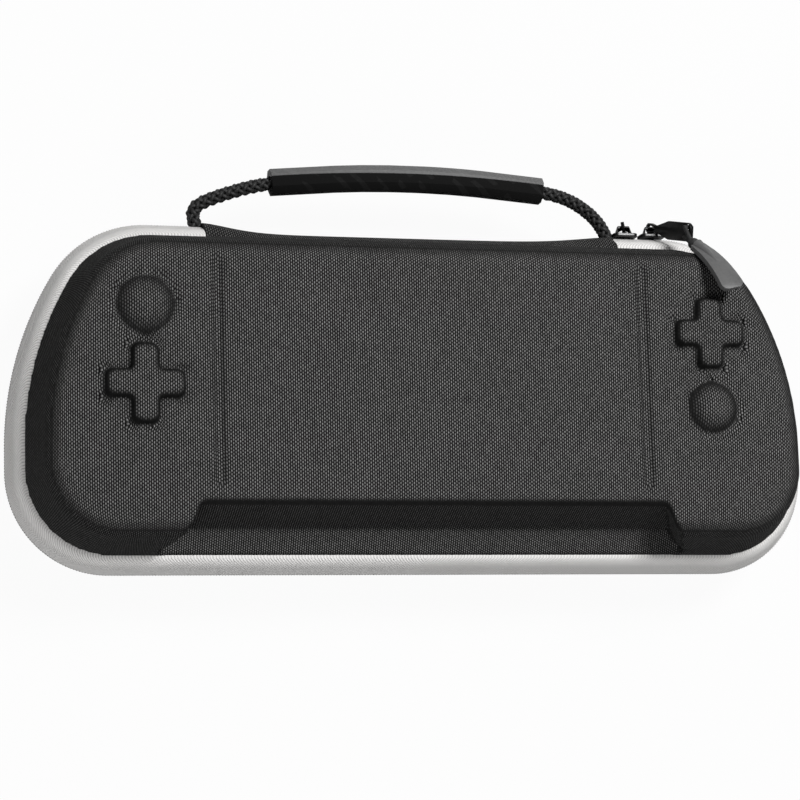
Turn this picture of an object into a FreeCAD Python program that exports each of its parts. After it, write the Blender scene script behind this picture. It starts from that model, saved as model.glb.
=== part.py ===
import FreeCAD, Part
import Sketcher
import math
import os
import re

# Carrying case for a handheld console, lying on its back.
# Millimetres. +X to the right of the front, +Y towards the handle, +Z towards the front.
# The origin is the middle of the flat back face; y = 0 is half of the outline's height.

Vector = FreeCAD.Vector

# Driving sizes: alias, value
SIZES = {
    # outline of the zip line
    "case_width": 300.0,
    "case_height": 127.2,
    "widest_y": -18.6,
    "top_corner": 40.0,
    "flank_radius": 122.7,
    "bottom_corner": 36.5,
    # depth
    "rear_depth": 29.0,
    "front_depth": 33.0,
    "tape_height": 10.0,
    "rim_inset": 5.7,
    "tape_belly": 0.9,
    "wall_lean": 4.2,
    "wall": 4.0,
    "face_round": 9.0,
    "back_round": 8.0,
    "zip_gap": 0.6,
    "tape_thickness": 2.2,
    "coil_gap": 0.9,
    "coil_width": 1.7,
    "coil_height": 1.2,
    "seat_clearance": 0.3,
    # cavities
    "cavity_taper": 4.6,
    "lid_cavity_bottom": -49.0,
    "lid_ceiling_bottom": -29.0,
    "lid_ceiling_corner": 8.0,
    # pressed front
    "recess_face_y": -39.3,
    "recess_face_half": 84.0,
    "recess_ledge_y": -48.5,
    "recess_ledge_half": 92.0,
    "recess_flare": 11.0,
    "ledge_height": 15.5,
    "ledge_tilt": 27.0,
    "recess_round": 2.5,
    "groove_x": 71.2,
    "groove_width": 4.0,
    "groove_depth": 1.5,
    "groove_slope": 1.1,
    "groove_top": 47.0,
    "groove_bottom": -36.0,
    "left_dome_diameter": 22.4,
    "right_dome_diameter": 20.6,
    "dome_rise": 4.6,
    "left_dome_x": 45.5,  # the x sizes of grooves and controls run in from the case's side
    "left_dome_y": 28.0,
    "right_dome_x": 45.8,
    "right_dome_y": -6.0,
    "left_cross_span": 28.0,
    "right_cross_span": 26.0,
    "cross_arm": 9.6,
    "cross_rise": 3.4,
    "cross_round": 2.4,
    "cross_tip_round": 3.0,
    "left_cross_x": 45.0,
    "left_cross_y": 0.0,
    "right_cross_x": 46.1,
    "right_cross_y": 21.5,
    "moat_width": 2.0,
    "moat_depth": 1.3,
    # spine
    "spine_half": 78.0,
    "spine_bulge": 3.2,
    "spine_thickness": 2.2,
    "anchor_run": 16.0,
    "anchor_flat": 5.0,
    "left_anchor_rise": 1.8,
    "right_anchor_rise": 0.3,
    "anchor_depth": 8.0,
    # handle
    "rope_diameter": 5.4,
    "root_gap": 0.4,
    "right_root_inset": 1.6,
    "left_lead": 4.9,
    "left_sweep_x": 14.4,
    "left_sweep_y": 10.4,
    "right_lead_x": 5.2,
    "right_lead_y": 6.2,
    "right_sweep_x": 13.5,
    "right_sweep_y": 11.4,
    "bend_share": 0.45,
    "grip_half": 52.0,
    "grip_height": 9.4,
    "grip_depth": 8.6,
    "grip_chamfer": 2.4,
    "grip_rise": 14.0,
    "grip_arch": 3.0,
    "rope_clearance": 0.1,
    # zip sliders
    "slider_1_x": 6.4,  # both sliders are placed from the spine's end
    "slider_2_x": 17.3,
    "slider_length": 9.4,
    "slider_height": 7.0,
    "slider_plate": 1.4,
    "slider_gap": 0.35,
    "bridge_length": 6.8,
    "bridge_window": 4.4,
    "bridge_inner": 2.2,
    "bridge_bar": 1.0,
    "bridge_width": 1.4,
    "blade_gap": 1.6,
    "blade_thickness": 1.2,
    "blade_length": 5.0,
    "blade_height": 5.0,
    "post_length": 2.4,
    "post_thickness": 0.6,
    # pullers
    "eye_reach": 1.1,
    "eye_wire": 0.9,
    "eye_point": 3.4,
    "plate_length": 26.0,
    "plate_width": 7.0,
    "plate_neck": 1.45,
    "plate_neck_end": 5.0,
    "plate_swell": 12.0,
    "plate_thickness": 1.2,
    "plate_hole": 2.0,
    "cord_hole_y": 1.9,
    "cord_hole_end": 2.4,
    "cord_diameter": 1.6,
    "cord_reach": 2.6,
    "knot_radius": 2.2,
    "tab_lead": 0.05,
    "tab_length": 27.0,
    "tab_root_width": 6.0,
    "tab_end_width": 9.4,
    "tab_thickness": 2.0,
    "tab_corner": 2.4,
    "tab_boss_length": 14.0,
    "tab_boss": 2.3,
    "tab_boss_tip": 0.5,
    # where the two pulls lie
    "pull_1_run": 12.0,
    "pull_1_inset": 2.5,
    "pull_1_height": 4.0,
    "knot_1_side": 0.0,
    "tab_1_turn": 40.0,
    "tab_1_inset": 4.0,
    "tab_1_height": 2.4,
    "pull_2_run": 7.9,
    "pull_2_inset": 2.4,
    "pull_2_drop": 7.5,
    "knot_2_side": -4.0,
    "tab_2_turn": 52.8,
    "tab_2_inset": 21.3,
    "tab_rest_gap": 0.5,
    # inside
    "binding_width": 1.6,
    "binding_height": 2.0,
    "bay_width": 242.0,
    "bay_height": 88.0,
    "bay_depth": 11.5,
    "bay_corner": 14.0,
    "notch_width": 46.0,
    "notch_depth": 7.0,
    "strap_width": 30.0,
    "strap_thickness": 1.4,
    "strap_overlap": 6.0,
    "patch_length": 16.0,
    "patch_thickness": 1.2,
    "pocket_level": 1.0,
    "pocket_thickness": 1.0,
    "pocket_top": 18.0,
    "elastic_width": 6.0,
    "elastic_thickness": 2.2,
}

doc = FreeCAD.newDocument("carrying_case")
sheet = doc.addObject("Spreadsheet::Sheet", "Sizes")
for row, (alias, number) in enumerate(SIZES.items(), start=1):
    sheet.set(f"A{row}", alias)
    sheet.set(f"B{row}", str(number))
    sheet.setAlias(f"B{row}", alias)
doc.recompute()


def formula(text):
    """The text with every size's alias written as a reference to the sheet."""
    def refer(word):
        return "Sizes." + word.group() if word.group() in SIZES else word.group()

    return re.sub(r"[a-z_][a-z_0-9]*", refer, text)


def value(text):
    """The number that a formula gives with the sheet's present sizes."""
    return float(sheet.evalExpression(formula(text)))


def origin_plane(body, role):
    return next(plane for plane in body.Origin.OriginFeatures if plane.Role == role)


def new_body(label):
    body = doc.addObject("PartDesign::Body", label)
    body.Label = label
    return body


def new_sketch(body, name, role, level="0", shift=("0", "0")):
    """A sketch on one of the body's own origin planes, moved by formulas."""
    sketch = body.newObject("Sketcher::SketchObject", name)
    sketch.AttachmentSupport = [(origin_plane(body, role), "")]
    sketch.MapMode = "FlatFace"
    sketch.setExpression("AttachmentOffset.Base.x", formula(shift[0]))
    sketch.setExpression("AttachmentOffset.Base.y", formula(shift[1]))
    sketch.setExpression("AttachmentOffset.Base.z", formula(level))
    return sketch


def dimension(sketch, kind, elements, text):
    """A driving dimension whose value is a formula."""
    index = sketch.addConstraint(Sketcher.Constraint(kind, *elements, value(text)))
    sketch.setExpression(f"Constraints[{index}]", formula(text))


def place_point(sketch, geometry, point, x, y):
    dimension(sketch, "DistanceX", (-1, 1, geometry, point), x)
    dimension(sketch, "DistanceY", (-1, 1, geometry, point), y)


def polygon(body, name, role, corners, level="0", shift=("0", "0")):
    """A closed outline of straight lines; each corner is a pair of formulas."""
    sketch = new_sketch(body, name, role, level, shift)
    spots = [Vector(value(x), value(y), 0) for x, y in corners]
    count = len(spots)
    for index in range(count):
        sketch.addGeometry(Part.LineSegment(spots[index], spots[(index + 1) % count]), False)
    for index, (x, y) in enumerate(corners):
        following = (index + 1) % count
        sketch.addConstraint(Sketcher.Constraint("Coincident", index, 2, following, 1))
        place_point(sketch, index, 1, x, y)
    return sketch


def rectangle(body, name, role, half_x, low_y, high_y, level="0", shift=("0", "0")):
    corners = [(f"-({half_x})", low_y), (half_x, low_y), (half_x, high_y), (f"-({half_x})", high_y)]
    return polygon(body, name, role, corners, level, shift)


def arc(centre, radius, start, end):
    circle = Part.Circle(centre, Vector(0, 0, 1), radius)
    return Part.ArcOfCircle(circle, start, end)


def outline(body, name, inset, level, bottom="", corner=""):
    """The case's outline, a set distance inside the zip line: four straights and six tangent arcs."""
    half = f"case_width/2 - ({inset})"
    top = f"case_height/2 - ({inset})"
    low = bottom or f"-(case_height/2 - ({inset}))"
    r_top = f"top_corner - ({inset})"
    r_flank = f"flank_radius - ({inset})"
    r_low = corner or f"bottom_corner - ({inset})"
    half_v, top_v, low_v, belt = value(half), value(top), value(low), value("widest_y")
    rt, rf, rb = value(r_top), value(r_flank), value(r_low)
    flank_x = half_v - rf
    lift = top_v - rt - belt
    top_x = flank_x + math.sqrt((rf - rt) ** 2 - lift ** 2)
    turn = math.atan2(lift, top_x - flank_x)
    low_x = half_v - rb
    quarter = math.pi / 2
    sketch = new_sketch(body, name, "XY_Plane", level)
    pieces = [
        Part.LineSegment(Vector(-low_x, low_v, 0), Vector(low_x, low_v, 0)),
        arc(Vector(low_x, low_v + rb, 0), rb, -quarter, 0),
        Part.LineSegment(Vector(half_v, low_v + rb, 0), Vector(half_v, belt, 0)),
        arc(Vector(flank_x, belt, 0), rf, 0, turn),
        arc(Vector(top_x, top_v - rt, 0), rt, turn, quarter),
        Part.LineSegment(Vector(top_x, top_v, 0), Vector(-top_x, top_v, 0)),
        arc(Vector(-top_x, top_v - rt, 0), rt, quarter, math.pi - turn),
        arc(Vector(-flank_x, belt, 0), rf, math.pi - turn, math.pi),
        Part.LineSegment(Vector(-half_v, belt, 0), Vector(-half_v, low_v + rb, 0)),
        arc(Vector(-low_x, low_v + rb, 0), rb, math.pi, 3 * quarter),
    ]
    for piece in pieces:
        sketch.addGeometry(piece, False)
    count = len(pieces)
    for index in range(count):
        sketch.addConstraint(Sketcher.Constraint("Tangent", index, 2, (index + 1) % count, 1))
    for index in (0, 5):
        sketch.addConstraint(Sketcher.Constraint("Horizontal", index))
    for index in (2, 8):
        sketch.addConstraint(Sketcher.Constraint("Vertical", index))
    dimension(sketch, "DistanceY", (-1, 1, 0, 1), low)
    dimension(sketch, "DistanceY", (-1, 1, 5, 1), top)
    dimension(sketch, "DistanceX", (-1, 1, 2, 1), half)
    dimension(sketch, "DistanceX", (-1, 1, 8, 1), f"-({half})")
    dimension(sketch, "DistanceY", (-1, 1, 2, 2), "widest_y")
    dimension(sketch, "DistanceY", (-1, 1, 8, 1), "widest_y")
    for index, radius in ((1, r_low), (3, r_flank), (4, r_top), (6, r_top), (7, r_flank), (9, r_low)):
        dimension(sketch, "Radius", (index,), radius)
    return sketch


def loft(body, name, kind, sections):
    feature = body.newObject(f"PartDesign::{kind}Loft", name)
    feature.Profile = sections[0]
    feature.Sections = sections[1:]
    feature.Ruled = True
    doc.recompute()
    return feature


def pad(body, name, sketch, length, midplane=False, reverse=False):
    feature = body.newObject("PartDesign::Pad", name)
    feature.Profile = sketch
    feature.setExpression("Length", formula(length))
    feature.SideType = "Symmetric" if midplane else "One side"
    feature.Reversed = reverse
    doc.recompute()
    return feature


def pocket(body, name, sketch, length, midplane=False, reverse=False):
    """A cut that has to take material away."""
    before = body.Shape.Volume
    feature = body.newObject("PartDesign::Pocket", name)
    feature.Profile = sketch
    feature.setExpression("Length", formula(length))
    feature.SideType = "Symmetric" if midplane else "One side"
    feature.Reversed = reverse
    doc.recompute()
    if body.Shape.Volume >= before:
        raise RuntimeError(f"{name} cuts nothing")
    return feature


def rounded(body, name, base, edges, radius):
    feature = body.newObject("PartDesign::Fillet", name)
    feature.Base = (base, edges)
    feature.setExpression("Radius", formula(radius))
    doc.recompute()
    return feature


def edges_where(feature, test):
    """Names of the feature's edges whose every sample point passes a test."""
    names = []
    for index, edge in enumerate(feature.Shape.Edges, start=1):
        first, last = edge.ParameterRange
        spots = [edge.valueAt(first + (last - first) * step / 4) for step in range(5)]
        if all(test(spot) for spot in spots):
            names.append(f"Edge{index}")
    return names


def near(number, target, within=0.02):
    return abs(number - target) < within


ZIP = "rear_depth"
FRONT = "rear_depth + front_depth"
FRONT_RIM = "rear_depth + tape_height"
REAR_RIM = "rear_depth - tape_height"
TOP = "case_height/2"
CAVITY = "rim_inset + wall"
TRAY_INSET = f"{CAVITY} + cavity_taper + seat_clearance"
SLIDER_1_X = "spine_half + slider_1_x"
SLIDER_2_X = "spine_half + slider_2_x"


ROUND_STEPS = 4


def tub(body, rim, face, inward, radius):
    """A leaning wall from the rim, then a rounded shoulder up to the flat face."""
    sections = [outline(body, "rim", "rim_inset", rim)]
    for step in range(ROUND_STEPS + 1):
        angle = math.pi / 2 * step / ROUND_STEPS
        inset = f"rim_inset + wall_lean + {radius}*{1 - math.cos(angle):.6f}"
        level = f"{face} {inward} {radius}*{1 - math.sin(angle):.6f}"
        sections.append(outline(body, f"shoulder_{step}", inset, level))
    return loft(body, "tub", "Additive", sections)


# Front shell: a tub with a pressed front
def control_x(side, kind):
    """Formula for the middle of a raised control, measured in from the case's side."""
    sign = "-" if side == "left" else ""
    return f"{sign}(case_width/2 - {side}_{kind}_x)"


def cross_corners(side, grow):
    """Twelve corners of a plus sign, grown outwards by a formula."""
    x, y = control_x(side, "cross"), f"{side}_cross_y"
    arm = f"(cross_arm/2 + {grow})"
    tip = f"({side}_cross_span/2 + {grow})"
    signs = [(1, 1), (-1, 1), (-1, -1), (1, -1)]
    corners = []
    for number, (sx, sy) in enumerate(signs):
        out_x = [(tip, arm), (arm, arm), (arm, tip)]
        order = out_x if number % 2 == 0 else out_x[::-1]
        corners += [(f"{x} + {sx}*{a}", f"{y} + {sy}*{b}") for a, b in order]
    return corners


def on_cross_tip(spot, side):
    """Whether a point lies on an upright edge at the end of one of the cross's arms."""
    across = abs(spot.x - value(control_x(side, "cross")))
    along = abs(spot.y - value(f"{side}_cross_y"))
    tip, arm = value(f"{side}_cross_span/2"), value("cross_arm/2")
    return near(max(across, along), tip) and near(min(across, along), arm)


def groove_lane(body, name, middle, half, level):
    """One level of a pressed groove: a long strip about an upright line."""
    inset = f"(groove_width/2 - ({half}))"
    return polygon(body, name, "XY_Plane", [
        (f"{middle} - ({half})", f"groove_bottom + {inset}"), (f"{middle} + ({half})", f"groove_bottom + {inset}"),
        (f"{middle} + ({half})", f"groove_top - {inset}"), (f"{middle} - ({half})", f"groove_top - {inset}")], level)


def front_shell():
    body = new_body("front_shell")
    tub(body, FRONT_RIM, FRONT, "-", "face_round")
    # bottom recess between the two grips
    past = "case_height/2 + rim_inset"
    ledge = polygon(body, "ledge", "XY_Plane", [
        ("-recess_ledge_half", "recess_ledge_y"), ("recess_ledge_half", "recess_ledge_y"),
        ("recess_ledge_half + recess_flare", f"-({past})"),
        ("-recess_ledge_half - recess_flare", f"-({past})")], f"{ZIP} + ledge_height")
    mouth = polygon(body, "mouth", "XY_Plane", [
        ("-recess_face_half", "recess_face_y"), ("recess_face_half", "recess_face_y"),
        ("recess_face_half + recess_flare", f"-({past})"),
        ("-recess_face_half - recess_flare", f"-({past})")], f"{FRONT} + recess_round")
    loft(body, "recess", "Subtractive", [ledge, mouth])
    shelf = polygon(body, "shelf", "YZ_Plane", [
        ("recess_ledge_y", f"{ZIP} + ledge_height"),
        (f"-({past})", f"{ZIP} + ledge_height"),
        (f"-({past})", f"{ZIP} + ledge_height - ({past} + recess_ledge_y)*tan(ledge_tilt)")])
    pocket(body, "shelf_cut", shelf, "2*(recess_ledge_half + recess_flare/2)", midplane=True)
    # pressed grooves beside the middle panel
    for side, sign in (("left", "-"), ("right", "")):
        middle = f"{sign}(case_width/2 - groove_x)"
        top = groove_lane(body, f"{side}_lane_top", middle, "groove_width/2", FRONT)
        foot = groove_lane(body, f"{side}_lane_foot", middle, "groove_width/2 - groove_slope", f"{FRONT} - groove_depth")
        loft(body, f"{side}_groove", "Subtractive", [top, foot])
    # raised controls, each in its own moat
    for side in ("left", "right"):
        moat = polygon(body, f"{side}_cross_moat", "XY_Plane", cross_corners(side, "moat_width"), FRONT)
        pocket(body, f"{side}_cross_sunk", moat, "moat_depth")
        plus = polygon(body, f"{side}_plus", "XY_Plane", cross_corners(side, "0"), f"{FRONT} - moat_depth")
        raised = pad(body, f"{side}_cross", plus, "moat_depth + cross_rise")
        tips = edges_where(raised, lambda p: on_cross_tip(p, side))
        softened = rounded(body, f"{side}_cross_tips", raised, tips, "cross_tip_round")
        top_z = value(f"{FRONT} + cross_rise")
        rim = edges_where(softened, lambda p: near(p.z, top_z))
        rounded(body, f"{side}_cross_edge", softened, rim, "cross_round")
    for side in ("left", "right"):
        stick_dome(body, side)
    # hollow inside
    mouth_in = outline(body, "cavity_mouth", CAVITY, FRONT_RIM, bottom="lid_cavity_bottom")
    ceiling = outline(body, "cavity_ceiling", f"{CAVITY} + wall_lean + cavity_taper/2", f"{FRONT} - wall",
                      bottom="lid_ceiling_bottom", corner="lid_ceiling_corner")
    loft(body, "cavity", "Subtractive", [mouth_in, ceiling])
    return body


def stick_dome(body, side):
    """A round cap in a ring moat: one sketch turned about its own upright axis."""
    radius_text = f"{side}_dome_diameter/2"
    shift = (control_x(side, "dome"), FRONT)
    level = f"-({side}_dome_y)"
    moat = polygon(body, f"{side}_dome_moat", "XZ_Plane", [
        (f"{radius_text} - moat_width", "moat_width"), (f"{radius_text} - moat_width", "-moat_depth"),
        (f"{radius_text} + moat_width/2", "-moat_depth"), (f"{radius_text} + moat_width", "moat_width")],
        level, shift)
    before = body.Shape.Volume
    ring = body.newObject("PartDesign::Groove", f"{side}_dome_ring")
    ring.Profile = moat
    ring.ReferenceAxis = (moat, ["V_Axis"])
    ring.Angle = 360
    doc.recompute()
    if body.Shape.Volume >= before:
        raise RuntimeError("the dome's moat cuts nothing")
    half = value(radius_text)
    rise = value("dome_rise + moat_depth")
    radius = (half ** 2 + rise ** 2) / (2 * rise)
    centre = Vector(0, value("dome_rise") - radius, 0)
    edge_angle = math.atan2(-value("moat_depth") - centre.y, half)
    cap = new_sketch(body, f"{side}_dome_cap", "XZ_Plane", level, shift)
    foot = Vector(half, -value("moat_depth"), 0)
    heart = Vector(0, -value("moat_depth"), 0)
    crown = Vector(0, value("dome_rise"), 0)
    cap.addGeometry(Part.LineSegment(heart, foot), False)
    cap.addGeometry(arc(centre, radius, edge_angle, math.pi / 2), False)
    cap.addGeometry(Part.LineSegment(crown, heart), False)
    cap.addConstraint(Sketcher.Constraint("Coincident", 0, 2, 1, 1))
    cap.addConstraint(Sketcher.Constraint("Coincident", 1, 2, 2, 1))
    cap.addConstraint(Sketcher.Constraint("Coincident", 2, 2, 0, 1))
    place_point(cap, 0, 1, "0", "-moat_depth")
    place_point(cap, 0, 2, radius_text, "-moat_depth")
    place_point(cap, 2, 1, "0", "dome_rise")
    dimension(cap, "DistanceX", (-1, 1, 1, 3), "0")
    dome = body.newObject("PartDesign::Revolution", f"{side}_dome")
    dome.Profile = cap
    dome.ReferenceAxis = (cap, ["V_Axis"])
    dome.Angle = 360
    doc.recompute()


# Rear shell: a plain tub
def rear_shell():
    body = new_body("rear_shell")
    tub(body, REAR_RIM, "0", "+", "back_round")
    floor = outline(body, "cavity_floor", f"{CAVITY} + cavity_taper", "wall")
    mouth = outline(body, "cavity_mouth", CAVITY, REAR_RIM)
    loft(body, "cavity", "Subtractive", [floor, mouth])
    return body


# Zip tapes: bands from the zip line to the shell's rim, open where the spine is
def tape(label, sign):
    body = new_body(label)
    near_zip = f"{ZIP} {sign} zip_gap"
    middle = f"{ZIP} {sign} tape_height/2"
    rim = f"{ZIP} {sign} tape_height"
    levels = [(near_zip, "0"), (middle, "rim_inset/2 - tape_belly"), (rim, "rim_inset")]
    outside = [outline(body, f"outer_{n}", inset, level) for n, (level, inset) in enumerate(levels)]
    inside = [outline(body, f"inner_{n}", f"{inset} + tape_thickness", level)
              for n, (level, inset) in enumerate(levels)]
    loft(body, "band", "Additive", outside)
    loft(body, "hollow", "Subtractive", inside)
    spine_gap(body, "spine_half + seat_clearance")
    return body


def spine_gap(body, half):
    """Opens a ring along its top edge."""
    gap = rectangle(body, "gap", "XY_Plane", half, "0", "case_height", "0")
    pocket(body, "opening", gap, f"2*({FRONT})", reverse=True)


def coil(label, sign):
    """One half of the zip's coil, behind the tape."""
    body = new_body(label)
    start = f"{ZIP} {sign} zip_gap"
    outer = outline(body, "outer", "tape_thickness + coil_gap", start)
    inner = outline(body, "inner", "tape_thickness + coil_gap + coil_width", start)
    pad(body, "bead", outer, "coil_height", reverse=(sign == "-"))
    pocket(body, "hollow", inner, "coil_height", reverse=(sign == "+"))
    spine_gap(body, "spine_half + seat_clearance")
    return body


def binding(label, sign):
    """A narrow band over the inner edge of the seam."""
    body = new_body(label)
    rim = f"{ZIP} {sign} tape_height"
    outer = outline(body, "outer", "rim_inset + tape_thickness + seat_clearance", rim)
    inner = outline(body, "inner", "rim_inset + tape_thickness + seat_clearance + binding_width", rim)
    pad(body, "band", outer, "binding_height", reverse=(sign == "+"))
    pocket(body, "hollow", inner, "binding_height", reverse=(sign == "-"))
    return body


# Spine: a folded strip of fabric with two thicker anchors for the rope
def hinge_spine():
    body = new_body("hinge_spine")
    edge = f"{TOP} - rim_inset"
    bulge = f"{TOP} - rim_inset + spine_bulge"
    strip = polygon(body, "strip", "YZ_Plane", [
        (edge, FRONT_RIM), (f"{edge} - spine_thickness", FRONT_RIM),
        (f"{bulge} - spine_thickness", f"{ZIP} + tape_height/3"),
        (f"{bulge} - spine_thickness", f"{ZIP} - tape_height/3"),
        (f"{edge} - spine_thickness", REAR_RIM), (edge, REAR_RIM),
        (bulge, f"{ZIP} - tape_height/3"), (bulge, f"{ZIP} + tape_height/3")])
    pad(body, "gusset", strip, "2*spine_half", midplane=True)
    foot = f"{bulge} - spine_thickness/2"
    for side, sign in (("left", "-"), ("right", "")):
        top = f"{TOP} + {side}_anchor_rise"
        wedge = polygon(body, f"{side}_wedge", "XY_Plane", [
            (f"{sign}spine_half", foot), (f"{sign}spine_half", top),
            (f"{sign}(spine_half - anchor_flat)", top), (f"{sign}(spine_half - anchor_run)", bulge),
            (f"{sign}(spine_half - anchor_run)", foot)], ZIP)
        pad(body, f"{side}_anchor", wedge, "anchor_depth", midplane=True)
    return body


# Handle: one rope between the two anchors, through the bore of a rubber grip
LEFT_ROOT = ("-(spine_half + root_gap + rope_diameter/2)", f"{TOP} + root_gap + rope_diameter/2")
RIGHT_ROOT = ("spine_half - right_root_inset", f"{TOP} + right_anchor_rise + root_gap + rope_diameter/2")


def rounded_path(points):
    """Straight runs joined by tangent arcs as large as the runs allow."""
    edges = []
    start = points[0]
    for before, corner, after in zip(points, points[1:], points[2:]):
        back, ahead = before - corner, after - corner
        half_turn = (math.pi - back.getAngle(ahead)) / 2
        setback = value("bend_share") * min(back.Length, ahead.Length)
        first = corner + back.normalize() * setback
        last = corner + ahead.normalize() * setback
        bisector = (back + ahead).normalize()
        radius = setback / math.tan(half_turn)
        middle = corner + bisector * (radius / math.cos(half_turn) - radius)
        edges.append(Part.LineSegment(start, first).toShape())
        edges.append(Part.Arc(first, middle, last).toShape())
        start = last
    edges.append(Part.LineSegment(start, points[-1]).toShape())
    return Part.Wire(edges)


def swept(wire, profile):
    """A closed solid: a flat profile carried along a path."""
    return wire.makePipeShell([profile], True, False)


def handle_route():
    """Points along the rope in the zip plane, from the left anchor to the right one."""
    left_x, left_y = (value(text) for text in LEFT_ROOT)
    right_x, right_y = (value(text) for text in RIGHT_ROOT)
    grip_y = right_y + value("grip_rise")
    arch, half = value("grip_arch"), value("grip_half")
    left = [(left_x, left_y), (left_x, left_y + value("left_lead")),
            (left_x + value("left_sweep_x"), left_y + value("left_sweep_y"))]
    middle = [(-half, grip_y), (-half / 3, grip_y + arch), (half / 3, grip_y + arch), (half, grip_y)]
    right = [(right_x - value("right_sweep_x"), right_y + value("right_sweep_y")),
             (right_x - value("right_lead_x"), right_y + value("right_lead_y")), (right_x, right_y)]
    return [Vector(x, y, value(ZIP)) for x, y in left + middle + right]


def rope_solid(path, radius):
    first = path.Edges[0]
    start = first.valueAt(first.FirstParameter)
    ring = Part.Wire(Part.Circle(start, first.tangentAt(first.FirstParameter), radius).toShape())
    return swept(path, ring)


def add_feature(label, shape):
    feature = doc.addObject("Part::Feature", label)
    feature.Label = label
    feature.Shape = shape
    return feature


def handle_rope():
    points = handle_route()
    radius = value("rope_diameter/2")
    tube = rope_solid(rounded_path(points), radius)
    ends = [Part.makeSphere(radius, point) for point in (points[0], points[-1])]
    return add_feature("handle_rope", tube.fuse(ends).removeSplitter())


def handle_grip():
    route = handle_route()
    path = rounded_path(route[3:7])
    first = path.Edges[0]
    start = first.valueAt(first.FirstParameter)
    along = first.tangentAt(first.FirstParameter)
    up = Vector(0, 0, 1).cross(along)
    across = Vector(0, 0, 1)
    half_h, half_d = value("grip_height/2"), value("grip_depth/2")
    cut = value("grip_chamfer")
    section = [(-half_d, -half_h + cut), (-half_d + cut, -half_h),
               (half_d - cut, -half_h), (half_d, -half_h + cut),
               (half_d, half_h - cut), (half_d - cut, half_h),
               (-half_d + cut, half_h), (-half_d, half_h - cut)]
    spots = [start + across * a + up * b for a, b in section]
    bar = swept(path, Part.makePolygon(spots + spots[:1]))
    bore = rope_solid(rounded_path(handle_route()), value("rope_diameter/2 + rope_clearance"))
    return add_feature("handle_grip", bar.cut(bore))


# Zip sliders, in their own frame: x along the zip, y outwards, z across the zip
def slider(label, x):
    body = new_body(label)
    plate_top = "slider_gap + slider_plate"
    window_top = f"{plate_top} + bridge_inner"
    bar_top = f"{window_top} + bridge_bar"
    blade_top = "-(tape_thickness + coil_gap + coil_width + blade_gap)"
    plate = rectangle(body, "plate", "XY_Plane", "slider_length/2", "slider_gap", plate_top)
    base = pad(body, "outer_blade", plate, "slider_height", midplane=True)
    upright = edges_where(base, lambda p: near(abs(p.x), value("slider_length/2"))
                          and near(abs(p.z), value("slider_height/2")))
    rounded(body, "blade_corners", base, upright, "slider_height/4")
    arch = polygon(body, "arch", "XY_Plane", [
        ("-bridge_length/2", plate_top), ("-bridge_window/2", plate_top), ("-bridge_window/2", window_top),
        ("bridge_window/2", window_top), ("bridge_window/2", plate_top), ("bridge_length/2", plate_top),
        ("bridge_window/2", bar_top), ("-bridge_window/2", bar_top)])
    pad(body, "bridge", arch, "bridge_width", midplane=True)
    neck = rectangle(body, "neck", "XY_Plane", "post_length/2", blade_top, "slider_gap")
    pad(body, "post", neck, "post_thickness", midplane=True)
    blade = rectangle(body, "blade", "XY_Plane", "blade_length/2", f"{blade_top} - blade_thickness", blade_top)
    pad(body, "inner_blade", blade, "blade_height", midplane=True)
    body.setExpression("Placement.Base.x", formula(x))
    body.setExpression("Placement.Base.y", formula(TOP))
    body.setExpression("Placement.Base.z", formula(ZIP))
    return body


BAR_Y = f"{TOP} + slider_gap + slider_plate + bridge_inner + bridge_bar/2"


def frame_along(start, along, outward):
    """Placement whose local x runs along a direction and whose local z faces outwards."""
    x_axis = Vector(along).normalize()
    y_axis = Vector(outward).cross(x_axis).normalize()
    z_axis = x_axis.cross(y_axis)
    rotation = FreeCAD.Rotation(x_axis, y_axis, z_axis, "XZY")
    return FreeCAD.Placement(start, rotation)


def frame_on_bar(start, along):
    """Placement of a flat puller: its eye is threaded by the bridge's bar, which runs along the zip."""
    x_axis = Vector(along).normalize()
    bar = Vector(1, 0, 0)
    z_axis = (x_axis * x_axis.dot(bar) - bar).normalize()
    rotation = FreeCAD.Rotation(x_axis, z_axis.cross(x_axis), z_axis, "XZY")
    return FreeCAD.Placement(start, rotation)


def puller_plate(label, place):
    """A flat leaf-shaped puller with a pointed eye at its root and two cord holes at its end."""
    body = new_body(label)
    back = "(eye_reach + eye_wire)"
    half_leaf = [(f"-{back}", f"{back}/2"), (f"-{back}/2", back), ("eye_reach", back),
                 ("eye_point", "plate_neck"), ("plate_neck_end", "plate_neck"),
                 ("plate_swell", "plate_width/2"), ("plate_length", "plate_width/2")]
    plan = polygon(body, "plan", "XY_Plane", mirrored(half_leaf))
    base = pad(body, "plate", plan, "plate_thickness", midplane=True)
    tip = edges_where(base, lambda p: near(p.x, value("plate_length")) and near(abs(p.y), value("plate_width/2")))
    rounded(body, "tip_corners", base, tip, "plate_width/3")
    half_eye = [("-eye_reach", "eye_reach/2"), ("-eye_reach/2", "eye_reach"), ("eye_reach", "eye_reach"),
                ("eye_point", "eye_reach/4")]
    eye = polygon(body, "eye_plan", "XY_Plane", mirrored(half_eye))
    pocket(body, "eye", eye, "2*plate_thickness", midplane=True)
    for side, sign in (("left", "-"), ("right", "")):
        hole = rectangle(body, f"{side}_hole", "XY_Plane", "plate_hole/2", "-plate_hole/2", "plate_hole/2",
                         shift=("plate_length - cord_hole_end", f"{sign}cord_hole_y"))
        pocket(body, f"{side}_cord_hole", hole, "2*plate_thickness", midplane=True)
    body.Placement = place
    doc.recompute()
    return body


def mirrored(half):
    """A closed outline from its upper half, mirrored about the X axis."""
    return half + [(x, f"-({y})") for x, y in reversed(half)]


CORD_LIFT = "plate_thickness/2 + cord_diameter/2 + seat_clearance/2"


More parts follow.
